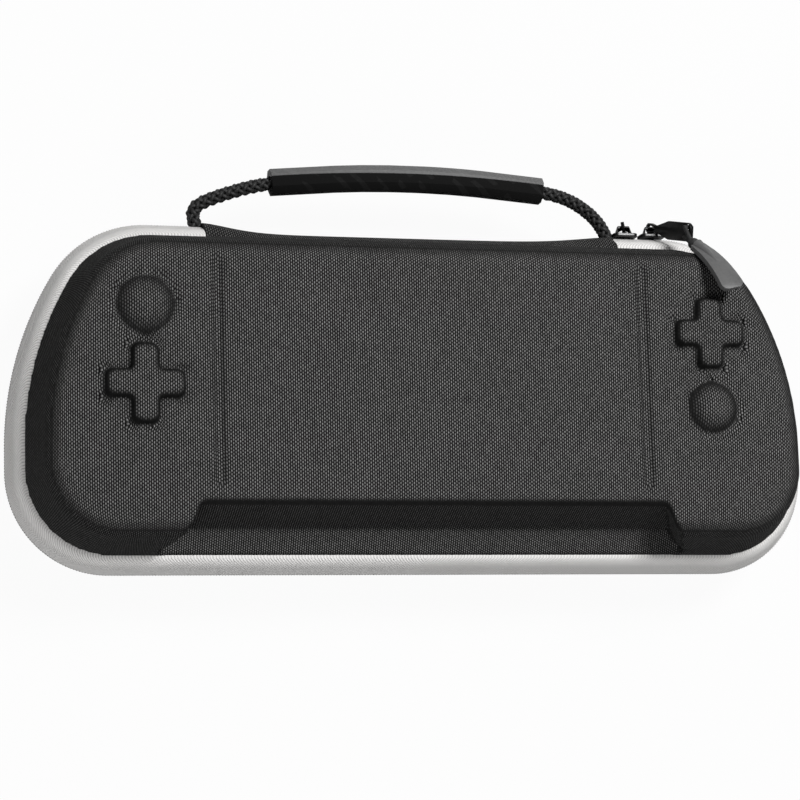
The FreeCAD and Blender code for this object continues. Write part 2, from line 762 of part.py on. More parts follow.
def knot_spot(number):
    """Middle of the knot, in its puller's own frame."""
    return Vector(value("plate_length + cord_reach"), value(f"knot_{number}_side"), value(CORD_LIFT) / 2)


def pull_cord(label, place, knot_at):
    """A short cord up through one hole and down the other, both ends tied in one knot."""
    hole_x = value("plate_length - cord_hole_end")
    hole_y = value("cord_hole_y")
    radius = value("cord_diameter/2")
    lift = value(CORD_LIFT)
    corners = [knot_at + Vector(0, 0, lift / 2), Vector(hole_x, -hole_y, lift), Vector(hole_x, -hole_y, -lift),
               Vector(hole_x, hole_y, -lift), Vector(hole_x, hole_y, lift), knot_at + Vector(0, 0, lift / 2)]
    runs = [Part.makeCylinder(radius, (b - a).Length, a, b - a) for a, b in zip(corners, corners[1:])]
    bends = [Part.makeSphere(radius, corner) for corner in corners[1:-1]]
    knot = Part.makeSphere(value("knot_radius"), knot_at)
    feature = add_feature(label, knot.fuse(runs + bends).removeSplitter())
    feature.Placement = place
    return feature


def pull_tab(label, start, along, outward):
    """A straight rubber tab, wider at its end, with a tapered half-round boss on its upper part."""
    body = new_body(label)
    plan = polygon(body, "plan", "XY_Plane", [
        ("0", "-tab_root_width/2"), ("tab_length", "-tab_end_width/2"),
        ("tab_length", "tab_end_width/2"), ("0", "tab_root_width/2")])
    base = pad(body, "strip", plan, "tab_thickness", midplane=True)
    end = edges_where(base, lambda p: near(p.x, value("tab_length")) and near(abs(p.y), value("tab_end_width/2")))
    rounded(body, "end_corners", base, end, "tab_corner")
    taper = polygon(body, "taper", "XY_Plane", [
        ("0", "0"), ("tab_boss_length", "0"), ("tab_boss_length - tab_boss_tip", "tab_boss_tip"), ("0", "tab_boss")],
        "tab_thickness/4")
    boss = body.newObject("PartDesign::Revolution", "boss")
    boss.Profile = taper
    boss.ReferenceAxis = (taper, ["H_Axis"])
    boss.Angle = 180
    body.Placement = frame_along(start, along, outward)
    doc.recompute()
    return body


def corner_middle():
    """Middle of the arc at the case's top right corner, in plan."""
    lift = value("case_height/2 - top_corner - widest_y")
    across = math.sqrt(value("flank_radius - top_corner") ** 2 - lift ** 2)
    return Vector(value("case_width/2 - flank_radius") + across, value("case_height/2 - top_corner"), 0)


def edge_y(x):
    """Height of the zip line at x, along the top edge and round its right corner."""
    middle = corner_middle()
    past = max(0.0, x - middle.x)
    return middle.y + math.sqrt(value("top_corner") ** 2 - past ** 2)


def on_corner(inset, turn, level):
    """A place at the top right corner: inside the zip line, turned clockwise from straight up."""
    radius = value("top_corner") - value(inset)
    angle = math.radians(value(turn))
    return corner_middle() + Vector(radius * math.sin(angle), radius * math.cos(angle), value(level))


# Inside: tray, strap and lid pocket
def console_tray():
    body = new_body("console_tray")
    low = outline(body, "low", TRAY_INSET, "wall")
    high = outline(body, "high", f"{CAVITY} + seat_clearance", REAR_RIM)
    loft(body, "block", "Additive", [low, high])
    bay = rectangle(body, "bay", "XY_Plane", "bay_width/2", "-bay_height/2", "bay_height/2", REAR_RIM)
    cut = pocket(body, "console_bay", bay, "bay_depth")
    corners = edges_where(cut, lambda p: near(abs(p.x), value("bay_width/2"))
                          and near(abs(p.y), value("bay_height/2")))
    rounded(body, "bay_corners", cut, corners, "bay_corner")
    for side, sign in (("left", "-"), ("right", "")):
        middle = f"{sign}bay_width/4"
        reach = "bay_height/2 + notch_depth"
        notch = polygon(body, f"{side}_notch", "XY_Plane", [
            (f"{middle} - notch_width/2", f"-({reach})"), (f"{middle} + notch_width/2", f"-({reach})"),
            (f"{middle} + notch_width/2", reach), (f"{middle} - notch_width/2", reach)], REAR_RIM)
        pocket(body, f"{side}_finger_notch", notch, "bay_depth/2")
    return body


def strap():
    body = new_body("strap")
    end = "bay_height/2 + strap_overlap"
    plan = rectangle(body, "plan", "XY_Plane", "strap_width/2", f"-({end})", end, REAR_RIM)
    pad(body, "band", plan, "strap_thickness")
    return body


def strap_patch():
    body = new_body("strap_patch")
    end = "bay_height/2 + strap_overlap"
    plan = rectangle(body, "plan", "XY_Plane", "strap_width/2", f"{end} - patch_length", end,
                     f"{REAR_RIM} + strap_thickness")
    pad(body, "patch", plan, "patch_thickness")
    return body


def pocket_panel(label, low, high, thickness):
    """A flat panel across the lid's hollow, between two heights."""
    body = new_body(label)
    inset = f"{CAVITY} + pocket_level + seat_clearance"
    plan = outline(body, "plan", inset, f"{FRONT_RIM} + pocket_level",
                   bottom="lid_cavity_bottom + 2*pocket_level + seat_clearance")
    pad(body, "panel", plan, thickness)
    for name, edge, reach in (("lower", low, "-case_height"), ("upper", high, "case_height")):
        if edge:
            off = rectangle(body, name, "XY_Plane", "case_width", edge, reach, FRONT_RIM)
            pocket(body, f"{name}_cut", off, "front_depth", reverse=True)
    return body


LEAN_TRIES = 9


def lean_over(knot, way, outward, shell):
    """Raises a tab's direction until the tab rests just clear of a shell's shoulder."""
    root, end, length = value("tab_root_width/2"), value("tab_end_width/2"), value("tab_length")
    lead = value("knot_radius + tab_lead")
    clear = value("tab_thickness/2 + tab_rest_gap")
    plan = Vector(way.x, way.y, 0).normalize()
    low, high = 0.0, math.pi / 2
    for _ in range(LEAN_TRIES):
        angle = (low + high) / 2
        raised = plan * math.cos(angle) + Vector(0, 0, math.sin(angle))
        corners = [Vector(lead, -root, 0), Vector(lead + length, -end, 0),
                   Vector(lead + length, end, 0), Vector(lead, root, 0)]
        flat = Part.Face(Part.makePolygon(corners + corners[:1]))
        flat.Placement = frame_along(knot, raised, outward)
        if flat.distToShape(shell.Shape)[0] < clear:
            low = angle
        else:
            high = angle
    return plan * math.cos(high) + Vector(0, 0, math.sin(high))


def zip_pull(number, slider_x, knot_z, tab_z, tab_out, leans_on=None):
    """A puller, its cord and its tab: each leads from the one before towards a set place on the case."""
    x = value(slider_x)
    bar = Vector(x, value(BAR_Y), value(ZIP))
    knot_x = x + value(f"pull_{number}_run")
    knot_to = Vector(knot_x, edge_y(knot_x) - value(f"pull_{number}_inset"), value(knot_z))
    place = frame_on_bar(bar, knot_to - bar)
    puller_plate(f"puller_plate_{number}", place)
    pull_cord(f"pull_cord_{number}", place, knot_spot(number))
    knot = place.multVec(knot_spot(number))
    way = on_corner(f"tab_{number}_inset", f"tab_{number}_turn", tab_z) - knot
    if leans_on:
        way = lean_over(knot, way, tab_out, leans_on)
    start = knot + Vector(way).normalize() * value("knot_radius + tab_lead")
    pull_tab(f"pull_tab_{number}", start, way, tab_out)


def build():
    lid = front_shell()
    rear_shell()
    tape("front_tape", "+")
    tape("rear_tape", "-")
    coil("front_coil", "+")
    coil("rear_coil", "-")
    binding("front_binding", "+")
    binding("rear_binding", "-")
    hinge_spine()
    handle_rope()
    handle_grip()
    slider("slider_1", SLIDER_1_X)
    slider("slider_2", SLIDER_2_X)
    zip_pull("1", SLIDER_1_X, "pull_1_height", "tab_1_height", Vector(0, 0, 1))
    zip_pull("2", SLIDER_2_X, f"{FRONT} - pull_2_drop", FRONT, Vector(0, 1, 1), lid)
    console_tray()
    strap()
    strap_patch()
    pocket_panel("mesh_pocket", "", "pocket_top", "pocket_thickness")
    pocket_panel("pocket_elastic", "pocket_top", "pocket_top + elastic_width", "elastic_thickness")


def sub_parts():
    """Bodies and plain features that stand alone in the document."""
    return [item for item in doc.Objects
            if item.TypeId == "PartDesign::Body" or item.TypeId == "Part::Feature"]


build()
doc.recompute()
for item in doc.Objects:
    if "Invalid" in item.State or "Error" in item.State:
        raise RuntimeError(f"{item.Label} failed: {item.State}")
os.makedirs("parts", exist_ok=True)
for part in sub_parts():
    if part.Shape.isNull() or not part.Shape.isValid():
        raise RuntimeError(f"{part.Label} has no valid shape")
for part in sub_parts():
    part.Shape.exportStep(f"parts/{part.Label}.step")
    print(part.Label, len(part.Shape.Solids), round(part.Shape.Volume / 1000, 2), "cm3")
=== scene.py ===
# %% [markdown]
# # A carrying case for a handheld console
# The case lies on its back: a moulded fabric shell in two halves, a light grey zip band round it,
# a black spine that carries a rope handle, and two zip pulls at the top right corner.
# The CAD model is loaded first. It fixes every place and size, and the pieces below dress it.

# %% Load the frame
import math

import bmesh
import bpy
from mathutils import Matrix, Vector


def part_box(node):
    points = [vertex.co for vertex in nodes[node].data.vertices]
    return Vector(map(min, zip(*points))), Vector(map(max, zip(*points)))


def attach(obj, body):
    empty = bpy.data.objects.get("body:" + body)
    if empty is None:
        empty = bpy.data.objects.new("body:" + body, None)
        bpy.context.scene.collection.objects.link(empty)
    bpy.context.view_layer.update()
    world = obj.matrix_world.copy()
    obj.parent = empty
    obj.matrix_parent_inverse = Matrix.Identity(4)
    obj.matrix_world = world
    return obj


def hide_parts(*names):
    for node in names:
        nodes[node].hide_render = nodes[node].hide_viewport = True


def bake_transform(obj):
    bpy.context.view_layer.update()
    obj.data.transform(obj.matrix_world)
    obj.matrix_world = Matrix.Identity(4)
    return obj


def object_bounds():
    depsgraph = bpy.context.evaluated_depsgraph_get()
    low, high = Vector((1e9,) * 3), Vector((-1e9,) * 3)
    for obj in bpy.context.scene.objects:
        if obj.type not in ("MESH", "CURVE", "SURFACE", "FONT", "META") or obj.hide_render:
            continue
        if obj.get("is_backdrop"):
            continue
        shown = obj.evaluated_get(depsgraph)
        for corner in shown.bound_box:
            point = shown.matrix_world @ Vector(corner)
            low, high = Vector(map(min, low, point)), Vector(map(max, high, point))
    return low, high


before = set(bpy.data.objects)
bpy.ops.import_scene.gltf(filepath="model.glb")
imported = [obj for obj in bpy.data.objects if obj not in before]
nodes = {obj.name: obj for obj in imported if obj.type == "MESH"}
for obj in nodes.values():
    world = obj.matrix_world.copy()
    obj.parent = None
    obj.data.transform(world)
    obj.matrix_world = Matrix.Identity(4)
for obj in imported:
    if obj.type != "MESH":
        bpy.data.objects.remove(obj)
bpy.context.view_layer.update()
MM = 0.001

# %% [markdown]
# ## Camera
# The photograph looks down on the front from the lower left with a long lens. The camera's place and
# its three directions were worked out from the outline, so they are written down as they are.

# %% Camera
LENS = 127.28
SENSOR = 36.0
EYE = Vector((-270.3, -165.3, 1017.8)) * MM
RIGHT = Vector((0.9666, -0.029, 0.2545))
UP = Vector((-0.0131, 0.9867, 0.1622))
FORWARD = Vector((0.2558, 0.1601, -0.9534))

camera_data = bpy.data.cameras.new("camera")
camera_data.lens = LENS
camera_data.sensor_width = SENSOR
camera = bpy.data.objects.new("camera", camera_data)
turn = Matrix((RIGHT, UP, -FORWARD)).transposed().to_4x4()
camera.matrix_world = Matrix.Translation(EYE) @ turn
bpy.context.scene.collection.objects.link(camera)
bpy.context.scene.camera = camera
bpy.context.scene.view_settings.view_transform = "Standard"
print("camera looks from", [round(c, 3) for c in EYE])

# %% [markdown]
# ## Shader arithmetic
# Patterns such as a weave are sums and products of waves. A small class wraps a node's output, so that
# they can be written as plain Python expressions. Every other node goes through one method.

# %% A socket with arithmetic


class Wire:
    """An output socket; arithmetic on it adds Math nodes to the same tree."""

    def __init__(self, tree, socket=None):
        self.tree = tree
        self.socket = socket

    def node(self, kind, settings=None, inputs=None, output=0):
        """Adds a node: its settings first, then the values or links of its sockets."""
        made = self.tree.nodes.new(kind)
        for name, setting in (settings or {}).items():
            setattr(made, name, setting)
        for name, given in (inputs or {}).items():
            if isinstance(given, Wire):
                self.tree.links.new(given.socket, made.inputs[name])
            else:
                made.inputs[name].default_value = given
        return Wire(self.tree, made.outputs[output])

    def maths(self, operation, *values):
        return self.node("ShaderNodeMath", {"operation": operation}, dict(enumerate(values)))

    def __add__(self, other):
        return self.maths("ADD", self, other)

    def __sub__(self, other):
        return self.maths("SUBTRACT", self, other)

    def __rsub__(self, other):
        return self.maths("SUBTRACT", other, self)

    def __mul__(self, other):
        return self.maths("MULTIPLY", self, other)

    def __truediv__(self, other):
        return self.maths("DIVIDE", self, other)

    def __abs__(self):
        return self.maths("ABSOLUTE", self)

    def floor(self):
        return self.maths("FLOOR", self)

    def fract(self):
        return self.maths("FRACT", self)

    def sine(self):
        return self.maths("SINE", self)

    def above(self, edge):
        return self.maths("GREATER_THAN", self, edge)


def finish(name, **plain):
    """A new material: its tree as a wire, and its shader with the plain values set."""
    made = bpy.data.materials.new(name)
    made.use_nodes = True
    shader = made.node_tree.nodes["Principled BSDF"]
    for socket, number in plain.items():
        shader.inputs[socket.replace("_", " ")].default_value = number
    return made, Wire(made.node_tree), shader


def feed(start, shader, **links):
    """Links wires to the shader's sockets."""
    for socket, wire in links.items():
        start.tree.links.new(wire.socket, shader.inputs[socket.replace("_", " ")])


def grey(level, warmth=0.0):
    return (level * (1 + warmth), level, level * (1 - warmth), 1.0)


def blend_colours(start, factor, low, high):
    return start.node("ShaderNodeMix", {"data_type": "RGBA"}, {0: factor, 6: low, 7: high}, output=2)


def bump(start, height, depth):
    return start.node("ShaderNodeBump", {}, {"Height": height, "Distance": depth, "Strength": 1.0})


def noise(start, place, scale, detail=2.0):
    return start.node("ShaderNodeTexNoise", {}, {"Vector": place, "Scale": scale, "Detail": detail})


def object_place(start):
    return start.node("ShaderNodeTexCoord", output=3)


def in_mm(start, place, axis):
    """One axis of a place, in millimetres."""
    return start.node("ShaderNodeSeparateXYZ", {}, {0: place}, output=axis) / MM


def map_axes(start, layer):
    """The two axes of a UV map that was written in metres, in millimetres."""
    place = start.node("ShaderNodeUVMap", {"uv_map": layer})
    return in_mm(start, place, 0), in_mm(start, place, 1)


def ramp(start, wire, low, high, first=0.0, last=1.0):
    """Goes smoothly from the first value to the last while the wire goes from low to high."""
    return start.node("ShaderNodeMapRange", {"interpolation_type": "SMOOTHSTEP"},
                      {"Value": wire, "From Min": low, "From Max": high, "To Min": first, "To Max": last})


print("shader helpers ready")

# %% [markdown]
# ## Stage and light
# The background is white. The floor is a pale plane that glows for the camera and for reflections, so it
# renders white and keeps only a trace of the shadow under the case.
# The main lamp stands at the upper right, so the domes, crosses and grooves of the front throw their dark
# sides to the lower left. A low lamp behind the top edge lights the grip and the rope, and a weak one at
# the lower left lifts the zip band.

# %% Floor, lamps and sky
FLOOR_HALF = 4.0
FLOOR_GLOW = 0.95
SKY = 0.12

floor_form = bmesh.new()
bmesh.ops.create_grid(floor_form, x_segments=1, y_segments=1, size=FLOOR_HALF)
floor_mesh = bpy.data.meshes.new("floor")
floor_form.to_mesh(floor_mesh)
floor_form.free()
floor = bpy.data.objects.new("floor", floor_mesh)
bpy.context.scene.collection.objects.link(floor)

floor_paint, tree, shader = finish("floor_paint", Base_Color=grey(0.6), Roughness=0.9)
path_camera = tree.node("ShaderNodeLightPath", output="Is Camera Ray")
path_gloss = tree.node("ShaderNodeLightPath", output="Is Glossy Ray")
path_clear = tree.node("ShaderNodeLightPath", output="Is Transmission Ray")
seen = path_camera.maths("MAXIMUM", path_camera, path_gloss).maths("MAXIMUM", path_camera, path_clear)
glow = tree.node("ShaderNodeEmission", {}, {"Color": grey(1.0), "Strength": 1.0})
plain = Wire(tree.tree, shader.outputs[0])
mixed = tree.node("ShaderNodeMixShader", {}, {0: seen * FLOOR_GLOW, 1: plain, 2: glow})
tree.tree.links.new(mixed.socket, tree.tree.nodes["Material Output"].inputs[0])
floor_mesh.materials.append(floor_paint)
floor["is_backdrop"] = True


def lamp(name, place, size, watts):
    """A square lamp that faces the case."""
    data = bpy.data.lights.new(name, "AREA")
    data.size = size
    data.energy = watts
    made = bpy.data.objects.new(name, data)
    aim = -Vector(place)
    made.matrix_world = Matrix.Translation(place) @ aim.to_track_quat("-Z", "Y").to_matrix().to_4x4()
    bpy.context.scene.collection.objects.link(made)


lamp("key_lamp", (0.46, 0.46, 1.2), size=0.4, watts=17.0)
lamp("top_lamp", (0.3, 1.1, 0.55), size=0.6, watts=1.4)
lamp("fill_lamp", (-0.75, -0.9, 0.8), size=0.8, watts=7.5)
sky = bpy.data.worlds.new("sky")
sky.use_nodes = True
sky.node_tree.nodes["Background"].inputs[0].default_value = grey(1.0)
sky.node_tree.nodes["Background"].inputs[1].default_value = SKY
bpy.context.scene.world = sky
print("stage ready")

# %% [markdown]
# ## Case fabric
# The shell is covered in a coarse woven nylon: upright grey threads that dive under the cross threads
# at staggered places and leave black pits. One column of threads is 0.8 mm wide. Each shell carries its
# steepness as an attribute, and its threads are darkened by it: painted shade on slopes and walls.
# Where the sides of the small relief are steep, a second attribute drops the threads' pattern and bump
# and gives one dark even tone instead: painted shade on the relief's steep sides.
# The pattern is drawn on a UV map in metres, so that it runs over the shoulders without sliding.

# %% Case fabric
# width of a thread and length of its dive in millimetres, and the offset from column to column
COLUMN = 0.82
PICK = 1.3
STAGGER = 0.5
# how deep the threads dive, how high they stand and how much smoother than the pits they are
DIVE = 0.65
THREAD_HEIGHT = 0.16 * MM
THREAD_GLOSS = 0.62
# how much the tone differs from thread to thread and from patch to patch
THREAD_SPREAD = 0.45
THREAD_LEAST = 0.78
PATCH_SPREAD = 0.2
PATCH_LEAST = 0.9
PATCH_SCALE = 55.0
# how much painted shade darkens the slopes, the steepness at which it is full, and the even tone of the
# painted shade on the relief
SLOPE_SHADE = 0.6
FULL_SHADE_STEEPNESS = 0.42
SHADED_TONE = 0.09


def woven(name, dark, light):
    made, tree, shader = finish(name, Specular_IOR_Level=0.1)
    u, v = map_axes(tree, "weave")
    column = u / COLUMN
    pick = v / PICK + column.floor() * STAGGER
    across = (column.fract() * math.pi).sine()
    along = (pick.fract() * math.pi).sine()
    height = across * (along * DIVE + (1 - DIVE))
    cell = tree.node("ShaderNodeCombineXYZ", {}, {0: column.floor(), 1: pick.floor()})
    chance = tree.node("ShaderNodeTexWhiteNoise", {"noise_dimensions": "2D"}, {"Vector": cell})
    patch = noise(tree, object_place(tree), PATCH_SCALE)
    slope = tree.node("ShaderNodeAttribute", {"attribute_name": "shade_steepness"}, output="Fac")
    # painted shade: the threads darken with the steepness of the surface
    painted_slope_shade = ramp(tree, slope, 0.0, FULL_SHADE_STEEPNESS, 1.0, 1 - SLOPE_SHADE)
    side_shade = tree.node("ShaderNodeAttribute", {"attribute_name": "relief_shade"}, output="Fac")
    # painted shade: on the relief's steep sides one dark even tone replaces the threads and their bump
    thread = height * height * height * (1 - side_shade) + side_shade * SHADED_TONE
    uneven = chance * THREAD_SPREAD + THREAD_LEAST
    tone = thread * uneven * (patch * PATCH_SPREAD + PATCH_LEAST) * painted_slope_shade
    feed(tree, shader, Base_Color=blend_colours(tree, tone, grey(dark), grey(light, 0.01)),
         Roughness=1.0 - tone * THREAD_GLOSS, Normal=bump(tree, height * (1 - side_shade), THREAD_HEIGHT))
    return made


case_fabric = woven("case_fabric", dark=0.001, light=0.235)
spine_fabric = woven("spine_fabric", dark=0.001, light=0.15)
print("woven", COLUMN, "by", PICK, "mm")

# %% [markdown]
# ## Helpers for pieces
# Each piece is its own object at the origin, with its place in its mesh. One helper makes the object
# from a bmesh, another settles it: it hangs it on its body and hides the CAD nodes that it stands for.

# %% Helpers for pieces


def new_piece(name, form):
    mesh = bpy.data.meshes.new(name)
    form.to_mesh(mesh)
    form.free()
    piece = bpy.data.objects.new(name, mesh)
    bpy.context.scene.collection.objects.link(piece)
    return piece


def apply_modifiers(piece):
    graph = bpy.context.evaluated_depsgraph_get()
    made = bpy.data.meshes.new_from_object(piece.evaluated_get(graph))
    piece.modifiers.clear()
    piece.data = made


def shade(piece, angle):
    piece.data.shade_smooth()
    piece.data.set_sharp_from_angle(angle=math.radians(angle))


def settle(piece, body, slot, *stands_for):
    if body:
        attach(piece, body)
    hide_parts(*stands_for)
    print(piece.name, "has", len(piece.data.polygons), "faces")


def everything(form):
    return form.verts[:] + form.edges[:] + form.faces[:]


def write_map(piece, layer_name, place_of):
    """Writes a UV map in metres from each vertex's own place and normal."""
    layer = piece.data.uv_layers.new(name=layer_name)
    spots = [place_of(vertex.co, vertex.normal) for vertex in piece.data.vertices]
    flat = []
    for loop in piece.data.loops:
        flat.extend(spots[loop.vertex_index])
    layer.data.foreach_set("uv", flat)


# %% [markdown]
# ## Moulded shells
# The halves are pressed from foam with the fabric on it, so no edge is sharp. The CAD solid has the
# true form with its domes, crosses, grooves and recess. A copy is remeshed in small cubes, drawn back
# onto the solid and smoothed, which softens every edge as the press does. The nearly flat parts are
# levelled further, because the large triangles of the solid would show there as facets.
# The fabric's map is the plan of the case on the face, and runs on outwards down the walls. Faces that
# look into the case are lining.

# %% Shells
MERGE = 0.001 * MM
VOXEL = 1.15 * MM
SMOOTHING = 2
# how upright a normal is where the surface counts as nearly flat, and the rounds of levelling there
FLAT = 0.992
LEVELLING = 30
# heights of the zip line and the lid's face, and the half sizes of the flat middle of the plan
ZIP = 29 * MM
FACE = 62 * MM
CORE_X = 98 * MM
CORE_Y = 22 * MM
# depth of the relief, steepness from which its sides get one even painted shade, and how fast that sets in
RELIEF = 3 * MM
SIDE_SHADE_FROM = 0.08
SIDE_SHADE_GAIN = 4
# how far a face looks along the case where it is an end wall of the recess
STEEP = 0.5
# depth from which a face may be lining, and how far it then looks inwards or to the zip
WALL = 6 * MM
LOOKS_IN = 0.2
LOOKS_BACK = 0.3


def from_core(place):
    """Outward direction in plan, away from the middle of the case."""
    core = Vector((max(-CORE_X, min(CORE_X, place.x)), max(-CORE_Y, min(CORE_Y, place.y))))
    away = Vector((place.x, place.y)) - core
    return away.normalized() if away.length > MM else Vector((0.0, 0.0))


def even_out(form, verts, rounds, sideways):
    """Moves vertices halfway to the mean of their neighbours, again and again."""
    for _ in range(rounds):
        bmesh.ops.smooth_vert(form, verts=verts, factor=0.5, use_axis_x=sideways, use_axis_y=sideways,
                              use_axis_z=True)


def pressed(node, voxel, smoothing):
    """A soft copy of a CAD solid: remeshed, drawn back onto the solid and smoothed."""
    form = bmesh.new()
    form.from_mesh(nodes[node].data)
    bmesh.ops.remove_doubles(form, verts=form.verts, dist=MERGE)
    piece = new_piece(node + "_pressed", form)
    cubes = piece.modifiers.new("cubes", "REMESH")
    cubes.mode = "VOXEL"
    cubes.voxel_size = voxel
    fit = piece.modifiers.new("fit", "SHRINKWRAP")
    fit.target = nodes[node]
    fit.wrap_method = "NEAREST_SURFACEPOINT"
    apply_modifiers(piece)
    form = bmesh.new()
    form.from_mesh(piece.data)
    even_out(form, form.verts, smoothing, True)
    form.normal_update()
    flat = [vert for vert in form.verts if abs(vert.normal.z) > FLAT]
    even_out(form, flat, LEVELLING, False)
    form.to_mesh(piece.data)
    form.free()
    piece.data.shade_smooth()
    piece.data.materials.clear()
    return piece


def write_shade_steepness(piece, level):
    """Steepness of the fabric, from 0 on the flat to 1 on a wall, which sets painted shade, and where the
    relief's sides get one even painted shade.
    """
    steepness = [1 - abs(vertex.normal.z) for vertex in piece.data.vertices]
    beside = [abs(vertex.co.z - level) < RELIEF for vertex in piece.data.vertices]
    # mask of the painted shade on the relief's steep sides
    relief_shade = [min(1.0, max(0.0, (steep - SIDE_SHADE_FROM) * SIDE_SHADE_GAIN)) if near else 0.0
                    for steep, near in zip(steepness, beside)]
    for name, values in (("shade_steepness", steepness), ("relief_shade", relief_shade)):
        layer = piece.data.attributes.new(name, "FLOAT", "POINT")
        layer.data.foreach_set("value", values)


def pressed_shell(node, body, level, sense):
    piece = pressed(node, VOXEL, SMOOTHING)
    write_shade_steepness(piece, level)

    def fabric_place(place, normal):
        depth = max(0.0, (level - place.z) * sense)
        steep_end = abs(normal.x) > STEEP and abs(place.x) < CORE_X and depth > RELIEF
        out = Vector((math.copysign(depth, -normal.x), 0.0)) if steep_end else from_core(place) * depth
        return (place.x + out.x, place.y + out.y)

    write_map(piece, "weave", fabric_place)
    piece.data.materials.append(case_fabric)
    piece.data.materials.append(lining)
    for face in piece.data.polygons:
        out = from_core(face.center)
        looks_out = face.normal.x * out.x + face.normal.y * out.y
        inner_wall = looks_out < -LOOKS_IN and abs(level - face.center.z) > WALL
        face.material_index = 1 if inner_wall or face.normal.z * sense < -LOOKS_BACK else 0
    settle(piece, body, "case_fabric", node)


lining, tree, shader = finish("lining", Roughness=0.9, Specular_IOR_Level=0.2)
knit = tree.node("ShaderNodeTexVoronoi", {}, {"Vector": object_place(tree), "Scale": 900.0})
pile = noise(tree, object_place(tree), scale=70.0)
feed(tree, shader, Base_Color=blend_colours(tree, knit * 0.7 + pile * 0.4, grey(0.02), grey(0.09)),
     Normal=bump(tree, knit, 0.15 * MM))

pressed_shell("front_shell", "lid", FACE, 1)
pressed_shell("rear_shell", "base", 0.0, -1)

# %% [markdown]
# ## Zip band
# A light grey herringbone tape runs round the case between the fabric and the zip. Its cross section
# is a short rolled curve. That section is carried along the outline: pushed along the straights and
# spun about the centre of each corner, then mirrored, because the outline is the same on both sides.

# %% Tape material
# in millimetres: a twill line, the height where the two slants meet, and where the tape rolls inwards
TWILL = 1.15
CHEVRON = 5.0
ROLL_FROM = 5.5
ROLL_TO = 8.5
# steepness of the twill, the painted shade on the outer side and the painted light on the roll
SLANT = 1.1
OUTER_SHADE = -0.12
ROLL_LIGHT = 0.22


def herringbone(name, dark, light):
    made, tree, shader = finish(name, Roughness=0.8, Sheen_Weight=0.15, Specular_IOR_Level=0.3)
    u, v = map_axes(tree, "band")
    slant = (u + abs(v - CHEVRON) * SLANT) / TWILL
    rib = abs((slant * math.pi).sine())
    fibre = noise(tree, object_place(tree), scale=900.0)
    patch = noise(tree, object_place(tree), scale=60.0)
    # painted shade on the steep outer side by the zip, painted light on the roll by the rim, which faces up
    painted_roll_light = ramp(tree, v, ROLL_FROM, ROLL_TO, OUTER_SHADE, ROLL_LIGHT)
    tone = rib * 0.5 + fibre * 0.35 + patch * 0.2 + painted_roll_light
    feed(tree, shader, Base_Color=blend_colours(tree, tone, grey(dark, 0.015), grey(light, 0.015)),
         Normal=bump(tree, rib, 0.22 * MM))
    return made


tape_cloth = herringbone("tape_cloth", dark=0.46, light=0.86)

# %% Zip band
# the right half of the zip line: top straight, top bend, flat bend of the flank, side straight, lower corner
TOP_Y = 63.6 * MM
TOP_HALF = 98.42 * MM
TOP_CENTRE = Vector((98.42, 23.6, 0)) * MM
TOP_RADIUS = 40 * MM
TOP_TURN = math.radians(59.3)
FLANK_CENTRE = Vector((27.3, -18.6, 0)) * MM
FLANK_RADIUS = 122.7 * MM
FLANK_TURN = math.radians(30.7)
SIDE_RUN = 8.5 * MM
LOW_CENTRE = Vector((113.5, -27.1, 0)) * MM
LOW_RADIUS = 36.5 * MM
# the zip stops at the ends of the spine
SPINE_HALF = 78.3 * MM
SEAM = 0.01 * MM
# edges of the cloth that are sharper than this, in degrees, aren't smoothed
CLOTH_ANGLE = 60
# inset from the zip line and height over the zip plane, from the rim down to the zip
TAPE_SECTION = [(6.0, 10.3), (5.0, 10.2), (4.0, 9.3), (3.1, 7.9), (2.1, 5.8), (1.2, 3.6), (0.5, 1.7),
                (0.1, 0.45)]
TAPE_WALL = 1.9


def push(form, edges, way, steps):
    """Extrudes an open or closed chain of edges along a straight, in equal steps."""
    for _ in range(steps):
        grown = bmesh.ops.extrude_edge_only(form, edges=edges)["geom"]
        verts = [item for item in grown if isinstance(item, bmesh.types.BMVert)]
        bmesh.ops.translate(form, verts=verts, vec=Vector(way) / steps)
        edges = [item for item in grown if isinstance(item, bmesh.types.BMEdge)
                 and item.verts[0] in verts and item.verts[1] in verts]
    return edges


def swing(form, edges, centre, angle, steps):
    """Spins a chain of edges about an upright axis."""
    made = bmesh.ops.spin(form, geom=edges, cent=centre, axis=(0, 0, 1), angle=angle, steps=steps)
    return [item for item in made["geom_last"] if isinstance(item, bmesh.types.BMEdge)]


def round_outline(form, corners, start):
    """Carries a closed section from the top edge at start round the outline and mirrors it."""
    verts = [form.verts.new(corner) for corner in corners]
    edges = [form.edges.new((a, b)) for a, b in zip(verts, verts[1:] + verts[:1])]
    edges = push(form, edges, (TOP_HALF - start, 0, 0), steps=6)
    edges = swing(form, edges, TOP_CENTRE, -TOP_TURN, steps=20)
    edges = swing(form, edges, FLANK_CENTRE, -FLANK_TURN, steps=20)
    edges = push(form, edges, (0, -SIDE_RUN, 0), steps=3)
    edges = swing(form, edges, LOW_CENTRE, -math.pi / 2, steps=24)
    push(form, edges, (-LOW_CENTRE.x, 0, 0), steps=28)
    bmesh.ops.mirror(form, geom=everything(form), axis="X", merge_dist=SEAM)
    bmesh.ops.remove_doubles(form, verts=form.verts, dist=SEAM)
    open_edges = [edge for edge in form.edges if edge.is_boundary]
    bmesh.ops.holes_fill(form, edges=open_edges, sides=0)
    bmesh.ops.recalc_face_normals(form, faces=form.faces)


